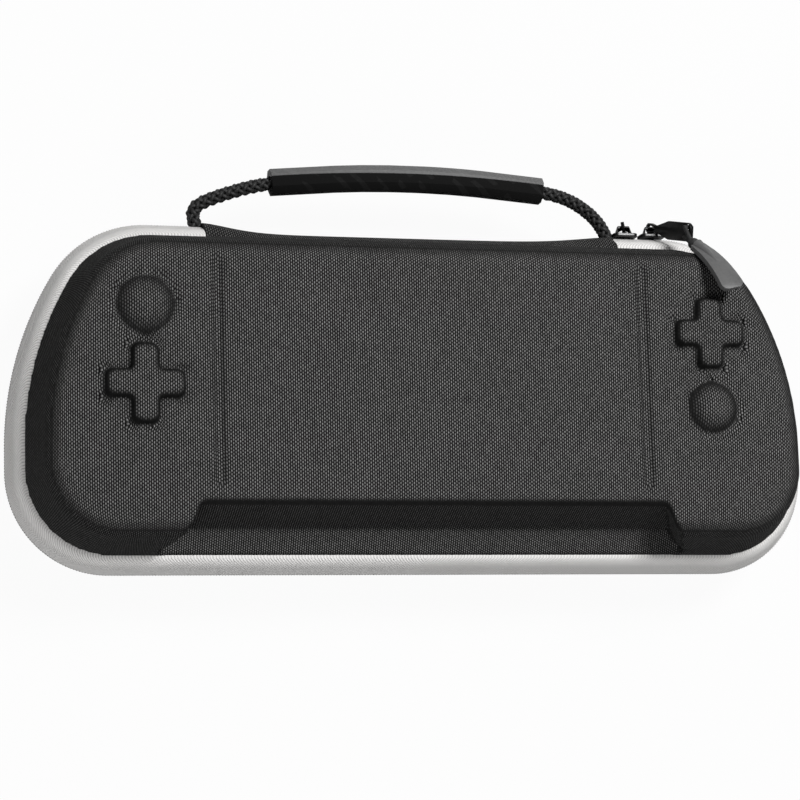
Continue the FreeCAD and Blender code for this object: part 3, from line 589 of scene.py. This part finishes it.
def outline_run(place):
    """Length along the zip line from the top middle to the nearest place on it."""
    x, y = abs(place.x), place.y
    past_top = TOP_HALF + TOP_RADIUS * TOP_TURN
    past_flank = past_top + FLANK_RADIUS * FLANK_TURN
    if y > TOP_CENTRE.y and x < TOP_CENTRE.x:
        run = x
    elif y < LOW_CENTRE.y:
        turned = math.atan2(LOW_CENTRE.y - y, max(x - LOW_CENTRE.x, 0.0))
        past_corner = max(LOW_CENTRE.x - x, 0.0)
        run = past_flank + SIDE_RUN + LOW_RADIUS * turned + past_corner
    elif y < FLANK_CENTRE.y:
        run = past_flank + FLANK_CENTRE.y - y
    else:
        low = math.atan2(y - FLANK_CENTRE.y, x - FLANK_CENTRE.x)
        if low < FLANK_TURN:
            run = past_top + FLANK_RADIUS * (FLANK_TURN - low)
        else:
            turned = math.pi / 2 - math.atan2(y - TOP_CENTRE.y, x - TOP_CENTRE.x)
            run = TOP_HALF + TOP_RADIUS * turned
    return run


def zip_band(name, body, sense, node):
    form = bmesh.new()
    inner = [(inset + TAPE_WALL, rise) for inset, rise in reversed(TAPE_SECTION)]
    section = TAPE_SECTION + inner
    corners = [(SPINE_HALF, TOP_Y - inset * MM, ZIP + sense * rise * MM) for inset, rise in section]
    round_outline(form, corners, SPINE_HALF)
    piece = new_piece(name, form)
    shade(piece, CLOTH_ANGLE)
    write_map(piece, "band", lambda place, normal: (outline_run(place), abs(place.z - ZIP)))
    piece.data.materials.append(tape_cloth)
    settle(piece, body, "zip_tape", node)


zip_band("front_band", "lid", 1, "front_tape")
zip_band("rear_band", "base", -1, "rear_tape")

# %% [markdown]
# ## Zip teeth
# Between the two tapes a black nylon coil closes the case. From outside its turns are a row of small
# beads along the zip line. One bead is a coarse sphere that is stretched towards the tape and set down
# again and again along the outline, once for each half, because the halves part when the case opens.

# %% Zip teeth
# a bead's spacing and half sizes, and how far it lies inside the zip line and off its plane
TOOTH_PITCH = 1.05 * MM
TOOTH_HALF = Vector((2.5, 0.56, 0.38)) * MM
TOOTH_INSET = 2.15 * MM
TOOTH_RISE = 0.36 * MM
# centre, radius, first angle and turn of each bend of the zip line, and the straight that follows it
ZIP_BENDS = [
    (TOP_CENTRE, TOP_RADIUS, math.pi / 2, TOP_TURN, 0.0),
    (FLANK_CENTRE, FLANK_RADIUS, FLANK_TURN, FLANK_TURN, SIDE_RUN),
    (LOW_CENTRE, LOW_RADIUS, 0.0, math.pi / 2, LOW_CENTRE.x),
]


def outward(angle):
    return Vector((math.cos(angle), math.sin(angle), 0.0))


def outline_spot(run):
    """Place on the zip line and the outward angle there, at a length from the top middle."""
    if run < TOP_HALF:
        return Vector((run, TOP_Y, 0.0)), math.pi / 2
    run -= TOP_HALF
    for centre, radius, first, turn, straight in ZIP_BENDS:
        if run < radius * turn:
            angle = first - run / radius
            return centre + outward(angle) * radius, angle
        run -= radius * turn
        last = first - turn
        if run < straight:
            return centre + outward(last) * radius + outward(last - math.pi / 2) * run, last
        run -= straight
    return Vector((0.0, -TOP_Y, 0.0)), -math.pi / 2


def zip_teeth(name, body, sense, node):
    form = bmesh.new()
    whole = TOP_HALF + sum(radius * turn + straight for _, radius, _, turn, straight in ZIP_BENDS)
    count = round((whole - SPINE_HALF) / TOOTH_PITCH)
    pitch = (whole - SPINE_HALF) / count
    for number in range(1, count + 1):
        spot, angle = outline_spot(SPINE_HALF + number * pitch)
        spot -= outward(angle) * TOOTH_INSET
        spot.z = ZIP + sense * TOOTH_RISE
        for side in (1, -1) if number < count else (1,):
            mirror = Matrix.Diagonal((side, 1, 1, 1))
            place = mirror @ Matrix.Translation(spot) @ Matrix.Rotation(angle, 4, "Z")
            stretched = place @ Matrix.Diagonal((*TOOTH_HALF, 1))
            bmesh.ops.create_icosphere(form, subdivisions=1, radius=1.0, matrix=stretched)
    bmesh.ops.recalc_face_normals(form, faces=form.faces)
    piece = new_piece(name, form)
    piece.data.shade_smooth()
    piece.data.materials.append(coil_nylon)
    settle(piece, body, "zip_coil", node)


coil_nylon, tree, shader = finish("coil_nylon", Specular_IOR_Level=0.5)
wear = noise(tree, object_place(tree), scale=700.0)
feed(tree, shader, Base_Color=blend_colours(tree, wear, grey(0.003), grey(0.02)), Roughness=wear * 0.3 + 0.3)

zip_teeth("front_teeth", "lid", 1, "front_coil")
zip_teeth("rear_teeth", "base", -1, "rear_coil")

# %% [markdown]
# ## Spine
# A strip of the same black fabric closes the top edge between the two ends of the zip. It is slack in
# the middle and held out at its ends, where the handle's rope is sewn on.
# It crosses the hinge, so it hangs on neither half.

# %% Spine
SPINE_STEPS = 60
SPINE_REACH = 10.4
# height over the zip plane and how far the strip stands out there, in millimetres
SPINE_SECTION = [(SPINE_REACH, 0.0), (8.6, 0.9), (6.0, 2.2), (3.0, 3.0), (0.0, 3.2), (-3.0, 3.0),
                 (-6.0, 2.2), (-8.6, 0.9), (-SPINE_REACH, 0.0)]
SPINE_WALL = 1.6
SPINE_GAP = 0.2 * MM
RIM_Y = TOP_Y - 5.7 * MM
SLACK = 0.2
# how far each end is held out, over what length that fades, and how sharply
HELD_OUT = {-1: (4.0, 15.0 * MM), 1: (3.0, 20.0 * MM)}
FADE_POWER = 1.6


def held_out(x):
    """How far the strip stands out at x, beyond its section, in millimetres."""
    lift, fade = HELD_OUT[-1 if x < 0 else 1]
    return lift * math.exp(-(max(0.0, SPINE_HALF - abs(x)) / fade) ** FADE_POWER) - SLACK


def spine_strip():
    form = bmesh.new()
    inner = [(rise, out - SPINE_WALL) for rise, out in reversed(SPINE_SECTION)]
    section = SPINE_SECTION + inner
    start = -SPINE_HALF + SPINE_GAP
    verts = [form.verts.new((start, RIM_Y + out * MM, ZIP + rise * MM)) for rise, out in section]
    edges = [form.edges.new((a, b)) for a, b in zip(verts, verts[1:] + verts[:1])]
    push(form, edges, (-2 * start, 0, 0), SPINE_STEPS)
    bmesh.ops.holes_fill(form, edges=[edge for edge in form.edges if edge.is_boundary], sides=0)
    bmesh.ops.recalc_face_normals(form, faces=form.faces)
    for vert in form.verts:
        middle = max(0.0, 1 - (abs(vert.co.z - ZIP) / (SPINE_REACH * MM)) ** 2)
        vert.co.y += held_out(vert.co.x) * MM * middle
    piece = new_piece("spine_strip", form)
    shade(piece, CLOTH_ANGLE)
    write_map(piece, "weave", lambda place, normal: (place.x, place.z))
    piece.data.materials.append(spine_fabric)
    settle(piece, None, "case_fabric", "hinge_spine")
    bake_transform(piece)


spine_strip()

# %% [markdown]
# ## Rope handle
# The handle is one length of black braided rope through a rubber sleeve. Its route is a smooth curve led
# by the points of the CAD solid's route, with its ends run on into the spine, where they are sewn in.
# Eight strands wind round that line, four each way, and take turns to pass over and under, as in a real
# braid.

# %% Rope
# in millimetres: the route in plan, its height and the radius of the rope
ROUTE = [(-79.6, 62.0), (-81.1, 66.7), (-80.6, 71.6), (-66.7, 77.1), (-52, 81.0), (-17.33, 84.0),
         (17.33, 84.0), (52, 81.0), (62.9, 78.4), (71.2, 73.2), (76.4, 67.0), (78.2, 62.0)]
ROPE_LEVEL = 29.0
ROPE_RADIUS = 2.7
ROUTE_STEPS = 48
# strands each way, the length of a turn, a strand's radius, and how far it rises and sinks at a crossing
STRANDS = 4
LAY = 13.0
STRAND_RADIUS = 0.78
WEAVE_DEPTH = 0.36


def smooth_line(points, resolution):
    """Points read from a NURBS spline that the given points control."""
    curve = bpy.data.curves.new("line", "CURVE")
    curve.dimensions = "3D"
    curve.resolution_u = resolution
    spline = curve.splines.new("NURBS")
    spline.points.add(len(points) - 1)
    for point, place in zip(spline.points, points):
        point.co = (*place, 1.0)
    spline.order_u = 3
    spline.use_endpoint_u = True
    holder = bpy.data.objects.new("line", curve)
    mesh = bpy.data.meshes.new_from_object(holder)
    line = [vertex.co.copy() for vertex in mesh.vertices]
    bpy.data.objects.remove(holder)
    bpy.data.curves.remove(curve)
    bpy.data.meshes.remove(mesh)
    return line


def tubes(name, lines, radius):
    """One mesh of round tubes along several lines."""
    curve = bpy.data.curves.new(name, "CURVE")
    curve.dimensions = "3D"
    curve.bevel_depth = radius
    curve.bevel_resolution = 1
    curve.use_fill_caps = True
    for line in lines:
        spline = curve.splines.new("POLY")
        spline.points.add(len(line) - 1)
        for point, place in zip(spline.points, line):
            point.co = (*place, 1.0)
    holder = bpy.data.objects.new(name, curve)
    mesh = bpy.data.meshes.new_from_object(holder)
    bpy.data.objects.remove(holder)
    bpy.data.curves.remove(curve)
    piece = bpy.data.objects.new(name, mesh)
    bpy.context.scene.collection.objects.link(piece)
    return piece


def braid_lines(line):
    lines = [[] for _ in range(2 * STRANDS)]
    run = 0.0
    for index, place in enumerate(line):
        ahead = line[min(index + 1, len(line) - 1)]
        behind = line[max(index - 1, 0)]
        run += (place - behind).length / MM if index else 0.0
        along = (ahead - behind).normalized()
        side = along.cross(Vector((0, 0, 1))).normalized()
        lift = side.cross(along)
        for number in range(2 * STRANDS):
            way = 1 if number < STRANDS else -1
            phase = 2 * math.pi * number / STRANDS
            angle = way * 2 * math.pi * run / LAY + phase
            crossing = STRANDS * 2 * math.pi * run / LAY
            over = way * math.cos(crossing + STRANDS * phase)
            reach = (ROPE_RADIUS - STRAND_RADIUS - WEAVE_DEPTH + WEAVE_DEPTH * over) * MM
            lines[number].append(place + (side * math.cos(angle) + lift * math.sin(angle)) * reach)
    return lines


rope_paint, tree, shader = finish("rope_nylon", Roughness=0.6, Specular_IOR_Level=0.4)
fibre = noise(tree, object_place(tree), scale=1400.0)
feed(tree, shader, Base_Color=blend_colours(tree, fibre, grey(0.004), grey(0.034)),
     Normal=bump(tree, fibre, 0.12 * MM))

rope_line = smooth_line([Vector((x, y, ROPE_LEVEL)) * MM for x, y in ROUTE], ROUTE_STEPS)
rope = tubes("handle_braid", braid_lines(rope_line), STRAND_RADIUS * MM)
rope.data.shade_smooth()
rope.data.materials.append(rope_paint)
settle(rope, "handle", "rope", "handle_rope")

# %% [markdown]
# ## Grained finishes
# Rubber, gunmetal, cord, flock and webbing have no drawn pattern. One helper gives each of them a fine
# grain, slow patches and a bump of its own.

# %% Finishes
GRAIN_DETAIL = 3.0
# size of a patch against the grain, shares of both in the tone, and what keeps the dark parts dark
PATCH_SIZE = 14
GRAIN_SHARE = 0.7
PATCH_SHARE = 0.4
DARKENED = 0.05


def grained(name, dark, light, scale, depth, **plain):
    made, tree, shader = finish(name, **plain)
    grain = noise(tree, object_place(tree), scale, detail=GRAIN_DETAIL)
    patch = noise(tree, object_place(tree), scale / PATCH_SIZE)
    tone = grain * GRAIN_SHARE + patch * PATCH_SHARE - DARKENED
    feed(tree, shader, Base_Color=blend_colours(tree, tone, grey(dark), grey(light)),
         Normal=bump(tree, grain, depth * MM))
    return made


tab_rubber = grained("tab_rubber", dark=0.07, light=0.13, scale=900, depth=0.05, Roughness=0.44)
gunmetal = grained("gunmetal", dark=0.015, light=0.06, scale=300, depth=0.02, Roughness=0.3, Metallic=0.9)
black_plate = grained("black_plate", dark=0.001, light=0.006, scale=300, depth=0.12, Roughness=0.4,
                      Specular_IOR_Level=0.2)
black_cord = grained("black_cord", dark=0.004, light=0.03, scale=1800, depth=0.2, Roughness=0.7)
flock = grained("flock", dark=0.02, light=0.075, scale=1500, depth=0.25, Roughness=0.95, Sheen_Weight=0.1)
webbing = grained("webbing", dark=0.008, light=0.045, scale=1200, depth=0.2, Roughness=0.85)

print("rubber, metal, cord, flock and webbing ready")

# %% [markdown]
# ## Zip hardware and tabs
# Cast sliders, stamped pullers and moulded tabs have small rounded edges that catch the light. Each one
# is a copy of its CAD solid: the triangles of its flat sides are joined, and its sharp edges bevelled.
# The second tab is soft enough to hang over the corner of the case, so its free part is bent down.

# %% Zip hardware and tabs
FLUSH = math.radians(1)
SMOOTH_ANGLE = 50
# where the bend of the tab starts, its radius, the cuts along it and the points that mark an end
DROOP_FROM = 4.0 * MM
DROOP_RADIUS = 42.0 * MM
DROOP_CUTS = 14
END_POINTS = 4


def mean_of(places):
    return sum(places, Vector()) / len(places)


def droop(form, tied_at):
    """Bends a tab down towards the case, past the part that its cord holds up."""
    places = sorted((vert.co for vert in form.verts), key=lambda place: (place - tied_at).length)
    root = mean_of(places[:END_POINTS])
    along = (mean_of(places[-END_POINTS:]) - root).normalized()
    whole = max((place - root).dot(along) for place in places)
    widest = max(form.faces, key=lambda face: face.calc_area())
    down = widest.normal.copy()
    if down.z > 0:
        down.negate()
    for number in range(1, DROOP_CUTS):
        cut_at = root + along * (DROOP_FROM + (whole - DROOP_FROM) * number / DROOP_CUTS)
        bmesh.ops.bisect_plane(form, geom=everything(form), plane_co=cut_at, plane_no=along)
    for vert in form.verts:
        past = (vert.co - root).dot(along) - DROOP_FROM
        if past > 0:
            angle = past / DROOP_RADIUS
            depth = (vert.co - root).dot(down)
            flat = vert.co - along * (past + DROOP_FROM) - down * depth
            reach = DROOP_FROM + (DROOP_RADIUS - depth) * math.sin(angle)
            fall = DROOP_RADIUS - (DROOP_RADIUS - depth) * math.cos(angle)
            vert.co = flat + along * reach + down * fall


def softened(node, body, slot, paint, width, angle=35, tied_at=None):
    form = bmesh.new()
    form.from_mesh(nodes[node].data)
    bmesh.ops.remove_doubles(form, verts=form.verts, dist=MERGE)
    bmesh.ops.dissolve_limit(form, angle_limit=FLUSH, verts=form.verts, edges=form.edges)
    if tied_at:
        droop(form, tied_at)
    piece = new_piece(node + "_soft", form)
    edge = piece.modifiers.new("edge", "BEVEL")
    edge.width = width * MM
    edge.segments = 2
    edge.limit_method = "ANGLE"
    edge.angle_limit = math.radians(angle)
    apply_modifiers(piece)
    shade(piece, SMOOTH_ANGLE)
    piece.data.materials.clear()
    piece.data.materials.append(paint)
    settle(piece, body, slot, node)


for number, place in (("1", "first"), ("2", "second")):
    softened(f"slider_{number}", f"{place}_slider", "slider_metal", gunmetal, width=0.3)
    softened(f"puller_plate_{number}", f"{place}_pull", "slider_metal", black_plate, width=0.22)
knot_low, knot_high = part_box("pull_cord_2")
knot = (Vector(knot_low) + Vector(knot_high)) / 2
softened("pull_tab_1", "first_pull", "tab_rubber", tab_rubber, width=0.4)
softened("pull_tab_2", "second_pull", "tab_rubber", tab_rubber, width=0.4, tied_at=knot)

# %% [markdown]
# ## Grip
# The sleeve is black rubber with a matt front. Its upper part is smoother and paler, which is painted
# light from above, with a clear border that follows the bend of the sleeve, so a parabola along the sleeve's
# line draws it.
# Faint broken paler ribs are painted highlights on the wrinkles of its front.

# %% Grip
# in millimetres: height of the line's middle, its fall to the ends, half its length, and the border of the
# painted light
GRIP_TOP = 83.9
GRIP_DROP = 2.6
GRIP_HALF = 52.0
TOP_LIGHT_FROM = 1.05
TOP_LIGHT_BORDER = 0.35
# spacing, lean, width and painted highlight of the ribs
RIB_PITCH = 7.5
RIB_LEAN = 0.5
RIB_EDGE = 0.86
RIB_HIGHLIGHT = 0.07

grip_rubber, tree, shader = finish("grip_rubber", Specular_IOR_Level=0.25)
place = object_place(tree)
x = in_mm(tree, place, 0) / GRIP_HALF
y = in_mm(tree, place, 1)
above_line = y - GRIP_TOP + x * x * GRIP_DROP
# painted light: the upper part of the sleeve is paler, and it is also smoother
smooth_top_painted_light = ramp(tree, above_line, TOP_LIGHT_FROM, TOP_LIGHT_FROM + TOP_LIGHT_BORDER)
grain = noise(tree, place, scale=900.0, detail=GRAIN_DETAIL)
wrinkle = abs((x * (GRIP_HALF * math.pi / RIB_PITCH) + y * RIB_LEAN).sine()).above(RIB_EDGE)
broken = noise(tree, place, scale=120.0).above(0.5)
# painted highlights on the wrinkles
rib = wrinkle * broken * grain * RIB_HIGHLIGHT
feed(tree, shader, Base_Color=blend_colours(tree, smooth_top_painted_light * (grain * 0.4 + 0.6) + rib, grey(0.003), grey(0.15)),
     Roughness=0.95 - smooth_top_painted_light * 0.4, Normal=bump(tree, grain, 0.06 * MM))
softened("handle_grip", "handle", "grip_rubber", grip_rubber, width=0.5, angle=20)

# %% [markdown]
# ## Inside
# Opened, the case shows a flocked tray with the console's bay, an elastic strap with a hook patch, and
# a net pocket with an elastic edge in the lid. Bindings cover the seams between shell and tape.
# The tray and the cords are pressed like the shells. The bands are grids that are pulled into shape.

# %% Tray, bindings and cords
tray = pressed("console_tray", voxel=1.5 * MM, smoothing=3)
tray.data.materials.append(flock)
settle(tray, "base", "tray_lining", "console_tray")
for node, body in (("front_binding", "lid"), ("rear_binding", "base")):
    softened(node, body, "lining_trim", webbing, width=0.7)
for node, body in (("pull_cord_1", "first_pull"), ("pull_cord_2", "second_pull")):
    cord = pressed(node, voxel=0.3 * MM, smoothing=2)
    cord.data.materials.append(black_cord)
    settle(cord, body, "pull_cord", node)

# %% Strap and elastic
# thickness of a band against half its solid's height
BAND_THICK = 1.4
# in millimetres: crown and bow of the strap, and height of the gathers and of the slow wave under them
STRAP_CROWN = 0.25
STRAP_BOW = 0.5
GATHER = 0.35
SLOW_WAVE = 0.1
# angle of both waves over half the band in radians, and how much the gathers fade to its edge
GATHER_ANGLE = 88
SLOW_ANGLE = 37
GATHER_FADE = 0.4


def ribbed(name, axis, pitch, dark, light):
    """Elastic: ribs across one axis, with paler rubber between them."""
    made, tree, shader = finish(name, Roughness=0.8, Specular_IOR_Level=0.3)
    place = object_place(tree)
    along = in_mm(tree, place, axis)
    rib = abs((along * (math.pi / pitch)).sine())
    fibre = noise(tree, place, scale=1500.0)
    feed(tree, shader, Base_Color=blend_colours(tree, rib * 0.6 + fibre * 0.4, grey(dark), grey(light)),
         Normal=bump(tree, rib, 0.3 * MM))
    return made


def band(node, body, slot, paint, across, along, shape):
    """A woven band in its CAD solid's place: a grid shaped by a function, then thickened."""
    low, high = (Vector(corner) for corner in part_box(node))
    middle, half = (low + high) / 2, (high - low) / 2
    form = bmesh.new()
    bmesh.ops.create_grid(form, x_segments=across, y_segments=along, size=1.0)
    for vert in form.verts:
        share = vert.co.copy()
        vert.co = middle + Vector((share.x * half.x, share.y * half.y, shape(share.x, share.y) * MM))
    piece = new_piece(node + "_band", form)
    thick = piece.modifiers.new("thick", "SOLIDIFY")
    thick.thickness = half.z * BAND_THICK
    thick.offset = 0.0
    fine = piece.modifiers.new("fine", "SUBSURF")
    fine.levels = 1
    fine.render_levels = 1
    apply_modifiers(piece)
    piece.data.shade_smooth()
    piece.data.materials.append(paint)
    settle(piece, body, slot, node)


def strap_form(x, y):
    """Nearly flat, with a low crown across and a slight bow along its free length."""
    return STRAP_CROWN * (1 - x * x) + STRAP_BOW * (1 - y ** 4)


def gathered(x, y):
    """Gathers of a stretched elastic."""
    gathers = GATHER * math.sin(x * GATHER_ANGLE) * (1 - GATHER_FADE * y)
    return gathers + SLOW_WAVE * math.sin(x * SLOW_ANGLE + 1)


strap_elastic = ribbed("strap_elastic", axis=1, pitch=1.6, dark=0.004, light=0.05)
band("strap", "base", "elastic_strap", strap_elastic, across=8, along=40, shape=strap_form)
edge_elastic = ribbed("edge_elastic", axis=0, pitch=1.2, dark=0.006, light=0.06)
band("pocket_elastic", "lid", "lining_trim", edge_elastic, across=260, along=4, shape=gathered)

# %% Hook patch and stitches
HOOK_PITCH = 1.3

hook_tape, tree, shader = finish("hook_tape", Roughness=0.7, Specular_IOR_Level=0.3)
place = object_place(tree)
u = in_mm(tree, place, 0)
v = in_mm(tree, place, 1)
hooks = abs((u * (math.pi / HOOK_PITCH)).sine()) * abs((v * (math.pi / HOOK_PITCH)).sine())
feed(tree, shader, Base_Color=blend_colours(tree, hooks, grey(0.004), grey(0.07)),
     Normal=bump(tree, hooks, 0.5 * MM))
softened("strap_patch", "base", "hook_patch", hook_tape, width=0.4)

# half sizes and spacing of a stitch, stitches in a row, and their distance from the strap's side and top
STITCH = Vector((1.5, 0.35, 0.3)) * MM
STITCH_PITCH = 3.2 * MM
STITCHES = 9
STITCH_MARGIN = 2.2 * MM
STITCH_LIFT = 0.1 * MM
# distance of each row from the strap's end, and how much further in the rows by the hook patch lie
STITCH_ROWS = (2.0 * MM, 4.4 * MM)
PATCH_CLEAR = 16.5 * MM
thread_paint = grained("thread", dark=0.02, light=0.09, scale=2500, depth=0.1, Roughness=0.7)
low, high = (Vector(corner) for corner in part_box("strap"))
form = bmesh.new()
for end, inward in ((low.y, 1), (high.y, -1)):
    for row in STITCH_ROWS:
        y = end + inward * row
        if end == high.y:
            y -= PATCH_CLEAR
        for number in range(STITCHES):
            x = low.x + STITCH_MARGIN + number * STITCH_PITCH
            spot = Vector((x, y, high.z + STITCH_LIFT))
            shape = Matrix.Translation(spot) @ Matrix.Diagonal((*STITCH, 1))
            bmesh.ops.create_icosphere(form, subdivisions=1, radius=1.0, matrix=shape)
stitches = new_piece("strap_stitches", form)
stitches.data.shade_smooth()
stitches.data.materials.append(thread_paint)
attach(stitches, "base")
print("stitches:", len(stitches.data.polygons), "faces")

# %% [markdown]
# ## Net pocket
# The lid's pocket is a stretched net. Its outline is the lower side of the CAD panel, cut into a fine
# grid and let out a little in the middle. The holes are in the material: a thread crosses every 2.2 mm.

# %% Net pocket
# spacing of the threads in millimetres, and the share of a wave that is thread
NET_PITCH = 2.2
NET_THREAD = 0.42
NET_CELL = 8 * MM
NET_BULGE = 1.6 * MM
# how far down a face of the panel looks where it is the lower side
DOWNWARDS = 0.9

net, tree, shader = finish("pocket_net", Roughness=0.7, Specular_IOR_Level=0.3)
place = object_place(tree)
u = in_mm(tree, place, 0)
v = in_mm(tree, place, 1)
rising = abs(((u + v) * (math.pi / NET_PITCH)).sine())
falling = abs(((u - v) * (math.pi / NET_PITCH)).sine())
gap = rising.maths("MINIMUM", rising, falling)
fibre = noise(tree, place, scale=2000.0)
feed(tree, shader, Base_Color=blend_colours(tree, fibre, grey(0.006), grey(0.04)),
     Alpha=1 - gap.above(NET_THREAD))

form = bmesh.new()
form.from_mesh(nodes["mesh_pocket"].data)
bmesh.ops.remove_doubles(form, verts=form.verts, dist=MERGE)
others = [face for face in form.faces if face.normal.z > -DOWNWARDS]
bmesh.ops.delete(form, geom=others, context="FACES")
net_area = sum(face.calc_area() for face in form.faces)
bmesh.ops.dissolve_limit(form, angle_limit=FLUSH, verts=form.verts, edges=form.edges)
low, high = (Vector(corner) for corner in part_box("mesh_pocket"))
for axis in (0, 1):
    normal = Vector((1 - axis, axis, 0))
    for number in range(1, int((high[axis] - low[axis]) / NET_CELL) + 1):
        cut_at = low + normal * NET_CELL * number
        bmesh.ops.bisect_plane(form, geom=everything(form), plane_co=cut_at, plane_no=normal)
middle, half = (low + high) / 2, (high - low) / 2
for vert in form.verts:
    x, y = (vert.co.x - middle.x) / half.x, (vert.co.y - middle.y) / half.y
    vert.co.z = middle.z - NET_BULGE * max(0.0, 1 - x ** 4) * max(0.0, 1 - y * y)
pocket = new_piece("pocket_net_sheet", form)
pocket.data.shade_smooth()
pocket.data.materials.clear()
pocket.data.materials.append(net)
settle(pocket, "lid", "pocket_mesh", "mesh_pocket")
print("net area in square millimetres:", round(net_area / MM / MM))

# %% [markdown]
# ## Sizes
# The box of the dressed model is printed, in millimetres.

# %% Sizes
low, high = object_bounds()
print("visual box in mm:", [round(side / MM, 1) for side in high - low])
